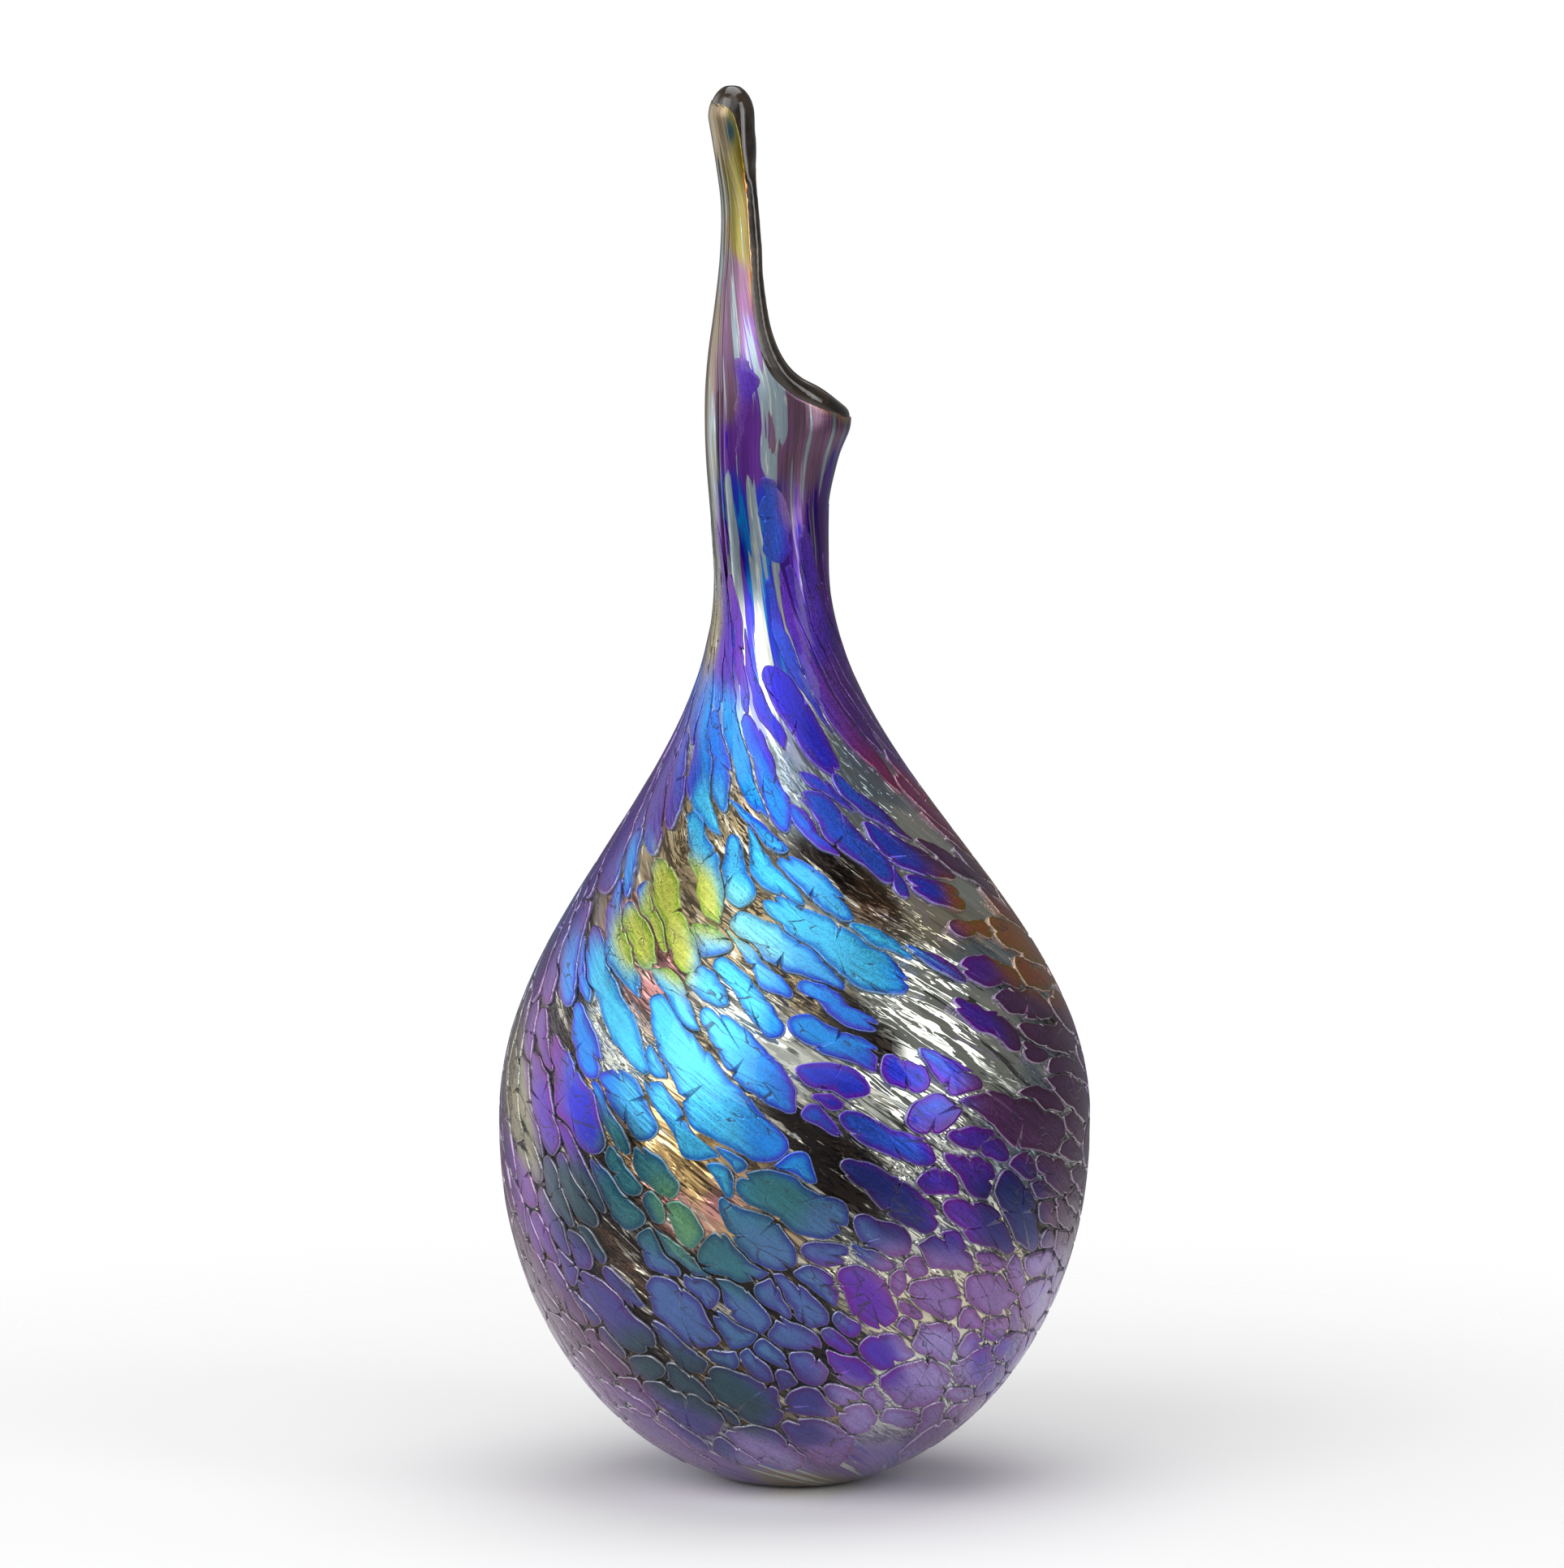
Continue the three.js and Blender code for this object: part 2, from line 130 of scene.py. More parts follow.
def hollow_section(z):
    x, half, depth = section(z, HOLLOW_SIDE, HOLLOW_FLOOR)
    t = np.clip((np.asarray(z, float) - HOLLOW_CLOSING_Z) / (HOLLOW_TOP_Z - HOLLOW_CLOSING_Z), 0, 1)
    closing = np.sqrt(1 - t * t)
    return x, half * closing, depth * closing


def on_oval(angle, z, oval):
    """Points at an angle from +X, counted anticlockwise from above."""
    x, half, depth = oval
    return np.stack([x + half * np.cos(angle), depth * np.sin(angle), z + 0 * angle], -1)


def skin_point(angle, z, out=0.0):
    """Points on the vase's outside, pushed out along its normal."""
    step = 0.3
    z = np.asarray(z, float)
    angle = np.asarray(angle, float)
    oval = section(z)
    up = on_oval(angle, z + step, section(z + step)) - on_oval(angle, z - step, section(z - step))
    round_ = np.stack([-oval[1] * np.sin(angle), oval[2] * np.cos(angle), 0 * angle + 0 * z], -1)
    normal = np.cross(round_, up)
    normal /= np.linalg.norm(normal, axis=-1, keepdims=True) + 1e-12
    return on_oval(angle, z, oval) + normal * np.asarray(out)[..., None]


def spline(points, steps):
    """Uniform Catmull-Rom curve through points, as three.js draws it."""
    pts = np.array(points, float)
    out = []
    for k in range(steps + 1):
        t = k / steps * (len(pts) - 1)
        i = min(int(t), len(pts) - 2)
        f = t - i
        p0, p1 = pts[max(i - 1, 0)], pts[i]
        p2, p3 = pts[i + 1], pts[min(i + 2, len(pts) - 1)]
        v0, v1 = (p2 - p0) / 2, (p3 - p1) / 2
        out.append((2 * p1 - 2 * p2 + v0 + v1) * f ** 3
                   + (-3 * p1 + 3 * p2 - 2 * v0 - v1) * f ** 2 + v0 * f + p1)
    return np.array(out)


CASING_CUT = spline(CASING_LIP_CUT + SPIRE_CUT + CASING_TIP_CUT, CUT_STEPS)
CORE_CUT = spline(LIP_CUT + SPIRE_CUT + CORE_TIP_CUT, CUT_STEPS)


def cut_angle(z):
    """Half the angle that the mouth leaves open at a height, measured from the lip."""
    x, half, _ = section(z)
    edge = np.interp(z, CASING_CUT[:, 1], CASING_CUT[:, 0])
    share = np.clip((edge - x) / np.maximum(half, 0.01), -1, 1)
    return np.where(z < MOUTH_Z, 0, np.arccos(share))


# Distance walked up the outside from the base's edge, against height.
WALK_Z = np.linspace(0, HEIGHT, 4001)
WALK_RADIUS = (section(WALK_Z)[1] + section(WALK_Z)[2]) / 2
WALK_S = np.concatenate([[0], np.cumsum(np.hypot(np.diff(WALK_RADIUS), np.diff(WALK_Z)))])


def z_at(s):
    return np.interp(s, WALK_S, WALK_Z)


def s_at(z):
    return np.interp(z, WALK_Z, WALK_S)


def radius_at(s):
    return np.maximum(np.interp(s, WALK_S, WALK_RADIUS), 2)


# ---------------------------------------------------------------- where colours lie
# sRGB colours of the iridescent film and of the lustre between the chips; the spots below also use some
# film colours for painted light and shade.
FILM = {
    "cyan": (66, 182, 232), "aqua": (110, 205, 215), "sky": (24, 132, 226), "cobalt": (36, 56, 194),
    "violet": (84, 38, 162), "purple": (100, 46, 146), "mauve": (130, 96, 158),
    "lilac": (146, 128, 186), "rose": (150, 46, 110), "lime": (190, 200, 84), "green": (96, 150, 108),
    "teal": (44, 104, 116), "deep": (34, 66, 78), "slate": (66, 100, 150), "indigo": (58, 56, 130),
    "navy": (26, 30, 110), "amber": (168, 88, 38), "plum": (96, 54, 100), "olive": (134, 126, 62),
    "beige": (140, 130, 104), "milk": (176, 172, 168), "dusk": (120, 90, 112), "ash": (124, 128, 120),
}
LUSTRE = {
    "silver": (196, 200, 190), "steel": (140, 156, 166), "tan": (142, 126, 96),
    "gold": (208, 174, 116), "bronze": (74, 55, 40), "black": (24, 16, 13),
    "cream": (200, 192, 166), "pink": (190, 130, 130),
}

# Spots of colour on the front and back elevations: x, z in mm, and the reach of the spot. Besides the
# film's own colours they hold painted light and shade: cyan and aqua where the light falls, painted shade
# in the deep, teal and slate at the lower left, and a painted reflection of the pale floor in the lilac and
# mauve near the bottom. The back is painted in the same manner.
FRONT_FILM_AND_LIGHT = [
    (-22.5, 386, "beige", 6), (-18, 385, "deep", 3), (-21.5, 368, "ash", 6), (-21.5, 350, "ash", 5),
    (-23, 332, "beige", 5),
    (-25, 314, "beige", 5), (-24.5, 296, "beige", 5), (-24, 280, "ash", 5), (-23, 262, "ash", 5),
    (-22.6, 244, "beige", 5), (-15, 384, "olive", 6), (-14, 368, "olive", 7), (-15, 355, "olive", 6),
    (-17, 343, "dusk", 6), (-13, 340, "dusk", 6), (-17, 330, "dusk", 6), (-12, 326, "mauve", 6),
    (-13, 315, "violet", 5), (-19, 312, "dusk", 5), (-12, 302, "purple", 6), (-6, 310, "dusk", 6),
    (2, 304, "dusk", 7), (11, 301, "dusk", 6), (11, 290, "violet", 5), (3, 292, "dusk", 7),
    (-4, 296, "dusk", 6), (-12, 290, "purple", 5), (-19, 296, "purple", 4), (-17, 280, "cobalt", 5),
    (-9, 280, "cobalt", 5), (-8, 270, "cobalt", 7), (0, 280, "mauve", 6), (5, 276, "purple", 5),
    (-18, 266, "purple", 6), (2, 266, "violet", 7), (-2, 255, "violet", 8), (-8, 256, "cobalt", 6),
    (5, 246, "violet", 9), (-6, 238, "cobalt", 8), (-18, 240, "violet", 7), (8, 260, "purple", 5),
    (14, 228, "purple", 8), (24, 214, "purple", 10),
    (-2, 214, "cobalt", 10), (-22, 214, "sky", 8), (-30, 206, "cobalt", 7), (-38, 196, "violet", 8),
    (8, 198, "cobalt", 10), (34, 198, "rose", 10), (-24, 192, "cyan", 9), (-14, 182, "cyan", 10),
    (-8, 196, "sky", 9), (18, 188, "cobalt", 12), (42, 182, "plum", 10), (-26, 172, "lime", 8),
    (-36, 172, "lime", 8), (-46, 178, "sky", 8), (-56, 168, "violet", 9), (-44, 160, "lime", 8),
    (-34, 158, "lime", 7), (-15, 170, "aqua", 8), (2, 172, "cyan", 12), (18, 158, "cyan", 12),
    (34, 176, "cobalt", 8), (50, 168, "amber", 9), (62, 154, "amber", 10), (46, 156, "violet", 7),
    (30, 152, "sky", 8), (-60, 152, "sky", 8), (-54, 146, "cyan", 9), (-40, 142, "cyan", 10),
    (-18, 148, "cyan", 10), (0, 136, "sky", 10), (22, 138, "sky", 9), (30, 124, "cobalt", 9),
    (10, 124, "cobalt", 9), (48, 140, "violet", 9), (66, 134, "plum", 10), (-70, 130, "purple", 10),
    (-58, 130, "sky", 9), (-40, 124, "cyan", 10), (-24, 114, "cyan", 12), (-6, 106, "sky", 10),
    (-78, 108, "beige", 9), (-68, 110, "violet", 9), (-58, 112, "cobalt", 8), (-50, 104, "teal", 9),
    (22, 110, "cobalt", 12), (44, 104, "violet", 10), (62, 112, "plum", 9), (74, 104, "plum", 9),
    (-4, 94, "teal", 10), (10, 84, "slate", 10), (26, 92, "navy", 12), (42, 88, "violet", 9),
    (60, 84, "navy", 12), (76, 80, "plum", 9), (-32, 84, "green", 8), (-44, 88, "teal", 9),
    (-60, 86, "deep", 12), (-76, 84, "purple", 10), (-20, 74, "teal", 10), (0, 66, "slate", 12),
    (-74, 62, "plum", 12), (-54, 62, "indigo", 12), (-34, 60, "slate", 12), (-14, 54, "slate", 12),
    (18, 64, "violet", 9), (36, 64, "mauve", 12), (58, 58, "mauve", 12), (70, 62, "lilac", 10),
    (-56, 42, "plum", 12), (-38, 42, "deep", 12), (-20, 34, "deep", 12), (0, 36, "indigo", 10),
    (20, 46, "violet", 10), (40, 42, "lilac", 12), (56, 40, "violet", 10), (-44, 26, "mauve", 10),
    (-26, 20, "indigo", 10), (0, 22, "indigo", 8), (22, 26, "lilac", 12), (38, 22, "mauve", 12),
    (-30, 12, "mauve", 10), (-8, 12, "lilac", 10), (10, 12, "mauve", 10), (26, 10, "lilac", 8),
    (0, 4, "beige", 9), (-60, 196, "violet", 12),
]
BACK_FILM_AND_LIGHT = [
    (16, 380, "olive", 14), (14, 355, "olive", 12), (14, 330, "mauve", 12), (6, 308, "purple", 10),
    (20, 300, "mauve", 10), (8, 280, "violet", 10), (18, 264, "cobalt", 10), (2, 262, "purple", 9),
    (10, 240, "cobalt", 12), (-6, 230, "violet", 10), (26, 222, "sky", 12), (4, 206, "cobalt", 12),
    (-20, 206, "purple", 12), (36, 196, "cyan", 12), (12, 184, "sky", 14), (-16, 182, "violet", 12),
    (-38, 186, "rose", 10), (-56, 166, "amber", 12), (-36, 160, "violet", 12), (-10, 160, "cobalt", 12),
    (18, 158, "cyan", 14), (44, 164, "lime", 12), (62, 146, "sky", 12), (-60, 134, "plum", 12),
    (-30, 134, "cobalt", 12), (0, 132, "sky", 14), (34, 134, "cyan", 14), (-76, 112, "purple", 12),
    (-48, 108, "violet", 14), (-14, 108, "cobalt", 14), (20, 108, "teal", 14), (52, 112, "sky", 14),
    (74, 106, "violet", 12), (-66, 84, "navy", 14), (-34, 82, "violet", 14), (-2, 82, "slate", 14),
    (32, 84, "green", 12), (60, 82, "teal", 14), (-60, 56, "mauve", 14), (-30, 56, "lilac", 14),
    (0, 54, "indigo", 14), (32, 56, "slate", 14), (58, 54, "plum", 14), (-40, 32, "lilac", 14),
    (-8, 28, "violet", 14), (24, 30, "mauve", 14), (46, 34, "indigo", 12), (0, 10, "mauve", 16),
]
# Lustre between the chips.
FRONT_LUSTRE = [
    (-14, 380, "tan", 14), (-12, 344, "steel", 12), (-2, 306, "steel", 12), (-14, 270, "steel", 10),
    (-10, 232, "silver", 12), (-8, 206, "steel", 9), (-17, 202, "tan", 8), (28, 200, "steel", 10),
    (36, 190, "silver", 9), (44, 180, "silver", 9), (24, 172, "bronze", 8), (36, 168, "cream", 8),
    (12, 180, "black", 7), (-42, 188, "tan", 9), (-34, 178, "tan", 8), (-42, 160, "pink", 8),
    (-22, 162, "tan", 9), (-14, 160, "tan", 9), (-2, 152, "tan", 9), (-14, 142, "silver", 9),
    (16, 142, "black", 8), (6, 150, "tan", 7), (24, 134, "black", 7), (32, 142, "silver", 9),
    (44, 146, "silver", 9), (42, 126, "silver", 12), (54, 130, "silver", 10), (34, 114, "silver", 9),
    (60, 150, "steel", 9), (72, 122, "steel", 9), (76, 132, "black", 6), (-63, 149, "black", 7),
    (-62, 120, "black", 8), (-53, 131, "silver", 7), (-56, 120, "gold", 6), (-18, 130, "tan", 9),
    (-6, 126, "silver", 8), (0, 116, "black", 8), (10, 104, "black", 8), (14, 92, "black", 8),
    (20, 80, "black", 7), (-46, 110, "bronze", 7), (-38, 104, "gold", 9), (-28, 96, "gold", 9),
    (-34, 92, "pink", 7), (-22, 90, "pink", 8), (-16, 84, "gold", 7), (-10, 76, "black", 7),
    (22, 76, "silver", 7), (64, 104, "steel", 9), (78, 104, "silver", 9), (38, 84, "silver", 8),
    (-70, 90, "black", 10), (-50, 86, "black", 10), (-50, 72, "bronze", 7), (-30, 66, "black", 10),
    (-8, 62, "black", 10), (6, 56, "black", 9), (-2, 46, "black", 8), (-24, 44, "bronze", 10),
    (4, 34, "black", 6), (9, 26, "tan", 7), (-60, 50, "bronze", 9), (-68, 50, "silver", 8),
    (-44, 34, "bronze", 10), (-12, 24, "bronze", 9), (-32, 34, "black", 9), (-46, 56, "black", 9),
    (30, 60, "cream", 12), (60, 56, "cream", 12),
    (46, 34, "silver", 14), (24, 15, "silver", 10), (-30, 14, "silver", 12), (0, 10, "silver", 12),
    (76, 74, "black", 9),
]
BACK_LUSTRE = [
    (14, 360, "steel", 14), (8, 300, "steel", 12), (12, 250, "silver", 12), (-4, 218, "steel", 12),
    (22, 204, "tan", 12), (-30, 196, "silver", 12), (0, 176, "tan", 12), (40, 176, "bronze", 12),
    (-50, 150, "silver", 12), (-20, 148, "black", 12), (20, 142, "tan", 12), (58, 130, "black", 12),
    (-64, 120, "steel", 12), (-30, 120, "silver", 12), (6, 118, "black", 12), (40, 120, "gold", 12),
    (-60, 96, "black", 14), (-20, 96, "silver", 12), (14, 94, "bronze", 14), (50, 92, "black", 14),
    (-50, 66, "cream", 16), (-12, 66, "cream", 14), (20, 66, "black", 14), (50, 62, "black", 14),
    (-36, 40, "silver", 14), (6, 38, "bronze", 14), (36, 38, "bronze", 14), (0, 12, "silver", 16),
]
# Pools that no chip stands in: x, z, half the length along the flow and half the width.
FRONT_POOLS = [
    (-17, 202, 13, 2.4), (-9, 218, 22, 2.6), (32, 191, 10, 5.5), (24, 172, 11, 3.6), (37, 168, 6, 4),
    (-16, 160, 8, 5.5), (-8, 140, 20, 4.5), (15, 142, 11, 3.2), (46, 141, 15, 7), (60, 126, 11, 6),
    (74, 122, 10, 4), (-62, 149, 8, 2.6), (-53, 131, 11, 3), (-55, 118, 9, 3.4), (-31, 97, 21, 5.5),
    (1, 114, 12, 4.5), (10, 99, 19, 4.2), (19, 80, 8, 2.6), (-50, 72, 5, 3), (0, 48, 5, 2.6),
    (9, 27, 7, 3.2), (40, 35, 5, 4), (53, 34, 5, 4), (23, 15, 5, 4), (-62, 51, 5, 3), (-69, 50, 4, 3),
]
BACK_POOLS = [
    (10, 214, 20, 2.6), (-26, 198, 12, 4.5), (6, 178, 14, 4), (40, 176, 13, 4), (-48, 150, 14, 6),
    (20, 144, 19, 4.5), (-20, 140, 12, 3.4), (60, 134, 10, 4), (-34, 118, 19, 6), (6, 116, 14, 4.5),
    (42, 112, 17, 5), (-64, 100, 9, 3.4), (-14, 92, 10, 3.4), (16, 72, 8, 3), (-46, 60, 6, 3),
    (52, 66, 6, 3), (-30, 36, 6, 4), (20, 30, 6, 4),
]
# Streaks down the neck that no film covers: x, z and half width along each centre line.
BARE_STREAKS = [
    [(-13, 288, 0.7), (-11, 262, 1), (-8, 232, 1.3), (-3.6, 200, 1.4)],
    [(-8.5, 324, 0.8), (-5.5, 310, 1.8), (-3.5, 300, 1)],
    [(-9.5, 299, 0.8), (-8, 292, 1.8), (-6, 286, 0.8)],
    [(-19, 288, 0.7), (-17.5, 270, 1.1), (-16, 250, 1), (-14, 236, 0.8)],
]


def to_linear(rgb):
    c = np.array(rgb, float) / 255
    return np.where(c < 0.04045, c / 12.92, ((c + 0.055) / 1.055) ** 2.4)


def elevation_angle(x, z, facing):
    """Angle round the vase of a place on the front (facing 1) or back (facing -1) elevation."""
    centre, half, _ = section(z)
    share = np.clip((facing * x - centre) / half, -0.985, 0.985)
    return -facing * math.acos(float(share))


def spots(front, back, palette):
    """Angle, walk, colour and reach of each spot on both elevations."""
    rows = []
    for facing, entries in ((1, front), (-1, back)):
        for entry in entries:
            angle = elevation_angle(entry[0], float(entry[1]), facing)
            rows.append((angle, float(s_at(entry[1])), *to_linear(palette[entry[2]]), entry[3]))
    return np.array(rows)


FILM_AND_LIGHT_SPOTS = spots(FRONT_FILM_AND_LIGHT, BACK_FILM_AND_LIGHT, FILM)
LUSTRE_SPOTS = spots(FRONT_LUSTRE, BACK_LUSTRE, LUSTRE)


def wrap(angle):
    return (angle + np.pi) % (2 * np.pi) - np.pi


# How the glass flows, in degrees from straight down: its twist, and how much more on the right.
TWIST = {10: 46, 60: 48, 120: 54, 160: 50, 200: 30, 240: 9, 300: 4}
TWIST_SIDE = {40: 18, 120: 24, 180: 14, 230: 0}
SPOT_STRETCH = 2.0    # spots of colour are this much longer along the flow
SPOT_CORE = 0.08      # squared share of a spot's reach inside which its weight levels off


def flow_lean(angle, z):
    """Angle between the glass's flow and straight down, towards +X on the front."""
    twist = by_height(z, TWIST)
    side = by_height(z, TWIST_SIDE)
    return np.radians(twist + side * np.sin(wrap(angle + np.pi / 2)))


def blend_spots(angle, s, table):
    """Colour at each point: a soft mix of the nearest spots, drawn out along the flow."""
    angle, s = np.asarray(angle, float), np.asarray(s, float)
    total = np.full(angle.shape, 1e-9)
    mixed = np.zeros(angle.shape + (3,))
    lean = flow_lean(angle, z_at(s))
    radius = radius_at(s)
    for spot in table:
        across = wrap(spot[0] - angle) * (radius + radius_at(spot[1])) / 2
        down = s - spot[1]
        along = across * np.sin(lean) + down * np.cos(lean)
        over = across * np.cos(lean) - down * np.sin(lean)
        distance = (over / spot[5]) ** 2 + (along / (spot[5] * SPOT_STRETCH)) ** 2
        weight = 1 / (SPOT_CORE + distance) ** 3
        total = total + weight
        mixed += weight[..., None] * spot[2:5]
    return mixed / total[..., None]


# ---------------------------------------------------------------- laying out the chips
MELTED = {"sky_chip_07": "cyan_chip_05"}   # chips that ran together into one slab
GAP_FINE = 0.1    # half of a hairline crack between two chips
GAP_WIDE = 0.3    # half of the usual gap between two clusters of chips
GAP_KEY = 0.32    # gap round the CAD's own chips
CLUSTERS = 260
CHIP_HEIGHT = 0.95
RELIEF = {0: 0.2, 30: 0.9, 190: 1, 235: 0.35, 300: 0.06}   # how much of that height the chips stand up
CHIP_LOW_Z = 14   # seeds of small chips lie between these heights
CHIP_TOP_Z = 226
CHIP_WIDTH = {2: 12, 20: 10, 60: 8, 110: 8.5, 160: 8.5, 200: 6.2, 230: 5}
CHIP_ASPECT = {2: 1.2, 20: 1.4, 60: 1.9, 100: 3.0, 150: 4.6, 190: 7.5, 230: 12}
# The first seeds are large, the next are middling, and small ones fill what is left.
SEED_TRIES = 30000
LARGE_SHARE, LARGE_SIZES = 0.06, (1.6, 1.3, 1.0)
MIDDLE_SHARE, MIDDLE_SIZES = 0.3, (1.0, 0.85)
SMALL_SIZE = 0.62
SEED_SPACING = 0.46   # least distance between two seeds, as a share of their sizes' sum
GRID_WALK, GRID_TURN, GRID_COLUMNS = 40, 0.5, 13   # seeds are sorted into such cells to find neighbours
KEY_CLEARANCE = 0.3   # share of a small chip's width between its seed and a CAD chip
CELL_NEIGHBOURS = 60
CELL_REACH = 1.05
CELL_LEAST_AREA = 5


def flow_axes(angle, s):
    """Unit vectors along and across the glass's flow, as (round, up)."""
    lean = float(flow_lean(angle, z_at(s)))
    return np.array([math.sin(lean), -math.cos(lean)]), np.array([math.cos(lean), math.sin(lean)])


class Site:
    """A chip's seed: its place, its metric (how far it spreads along and across the flow)."""

    def __init__(self, angle, s, size):
        z = float(z_at(s))
        width = float(by_height(z, CHIP_WIDTH))
        aspect = float(by_height(z, CHIP_ASPECT))
        self.angle, self.s, self.size = angle, s, size
        self.radius = float(radius_at(s))
        self.along, self.over = flow_axes(angle, s)
        self.metric = (np.outer(self.over, self.over) / width ** 2
                       + np.outer(self.along, self.along) / (width * aspect) ** 2)
        self.length = width * aspect * size
        self.width = width * size


def offset_between(a, b):
    """From a to b in mm: round the vase, and up."""
    radius = (a.radius + b.radius) / 2
    return np.array([wrap(b.angle - a.angle) * radius, b.s - a.s]), radius


def pool_places():
    places = []
    for facing, pools in ((1, FRONT_POOLS), (-1, BACK_POOLS)):
        for x, z, length, width in pools:
            places.append((elevation_angle(x, float(z), facing), float(s_at(z)), length, width))
    return places


def in_pool(angle, s, pools):
    along, over = flow_axes(angle, s)
    radius = float(radius_at(s))
    for pool_angle, pool_s, length, width in pools:
        d = np.array([wrap(angle - pool_angle) * radius, s - pool_s])
        if (d @ along / length) ** 2 + (d @ over / width) ** 2 < 1:
            return True
    return False


def scatter(rng, keys, pools):
    """Seeds of the chips, spaced by their own metric; those in pools only hold the place open."""
    low, top = float(s_at(CHIP_LOW_Z)), float(s_at(CHIP_TOP_Z))
    sites, grid = [], {}
    for k in range(SEED_TRIES):
        s = rng.uniform(low, top)
        if rng.random() > radius_at(s) / BELLY_RADIUS:
            continue
        angle = rng.uniform(-math.pi, math.pi)
        size = SMALL_SIZE
        if k / SEED_TRIES < LARGE_SHARE:
            size = rng.choice(LARGE_SIZES)
        elif k / SEED_TRIES < MIDDLE_SHARE:
            size = rng.choice(MIDDLE_SIZES)
        site = Site(angle, s, size)
        if any(inside(key, angle, s, KEY_CLEARANCE * site.width) for key in keys):
            continue
        cell = (int(s // GRID_WALK), int((angle + math.pi) / GRID_TURN))
        near = [o for i in (-1, 0, 1) for j in (-2, -1, 0, 1, 2)
                for o in grid.get((cell[0] + i, (cell[1] + j) % GRID_COLUMNS), ())]
        if not any(too_close(site, other) for other in near):
            site.pool = in_pool(angle, s, pools)
            sites.append(site)
            grid.setdefault(cell, []).append(site)
    return sites


def too_close(a, b):
    d, _ = offset_between(a, b)
    return d @ (a.metric + b.metric) @ d / 2 < (SEED_SPACING * (a.size + b.size)) ** 2


def inside(key, angle, s, margin):
    """Whether a place lies in a key chip's outline, grown by a margin in mm."""
    d = np.array([wrap(angle - key["angle"]) * key["radius"], s - key["s"]])
    return bool(np.all(key["normals"] @ d <= key["edges"] + margin))


def key_outline(names):
    """The outline of CAD chips on the skin: a convex polygon about its centre, in mm."""
    co = np.array([v.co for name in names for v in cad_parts[name].data.vertices]) / MM
    z = co[:, 2]
    centre, half, depth = section(z)
    angles = np.arctan2(co[:, 1] / depth, (co[:, 0] - centre) / half)
    middle = math.atan2(np.sin(angles).mean(), np.cos(angles).mean())
    walk = s_at(z)
    s = float((walk.min() + walk.max()) / 2)
    radius = float(radius_at(s))
    local = np.stack([wrap(angles - middle) * radius, walk - s], -1)
    corners = local[convex_hull(local)]
    edge = np.roll(corners, -1, 0) - corners
    normals = np.stack([edge[:, 1], -edge[:, 0]], -1)
    normals /= np.linalg.norm(normals, axis=1, keepdims=True)
    return {"names": names, "angle": middle, "s": s, "radius": radius, "corners": corners,
            "normals": normals, "edges": (normals * corners).sum(1),
            "reach": float(np.abs(corners).max()) * 1.4}


def convex_hull(points):
    """Indices of the hull's corners, anticlockwise."""
    order = sorted(range(len(points)), key=lambda i: tuple(points[i]))

    def turn(o, a, b):
        u, v = points[a] - points[o], points[b] - points[o]
        return u[0] * v[1] - u[1] * v[0]

    chains = []
    for run in (order, order[::-1]):
        chain = []
        for i in run:
            while len(chain) > 1 and turn(chain[-2], chain[-1], i) <= 0.05:
                chain.pop()
            chain.append(i)
        chains += chain[:-1]
    return chains


def clip(polygon, normal, limit):
    """The part of a convex polygon where normal . p <= limit."""
    out = []
    for k, p in enumerate(polygon):
        q = polygon[(k + 1) % len(polygon)]
        fp, fq = normal @ p - limit, normal @ q - limit
        if fp <= 0:
            out.append(p)
        if (fp < 0) != (fq < 0) and abs(fp - fq) > 1e-9:
            out.append(p + (q - p) * fp / (fp - fq))
    return out


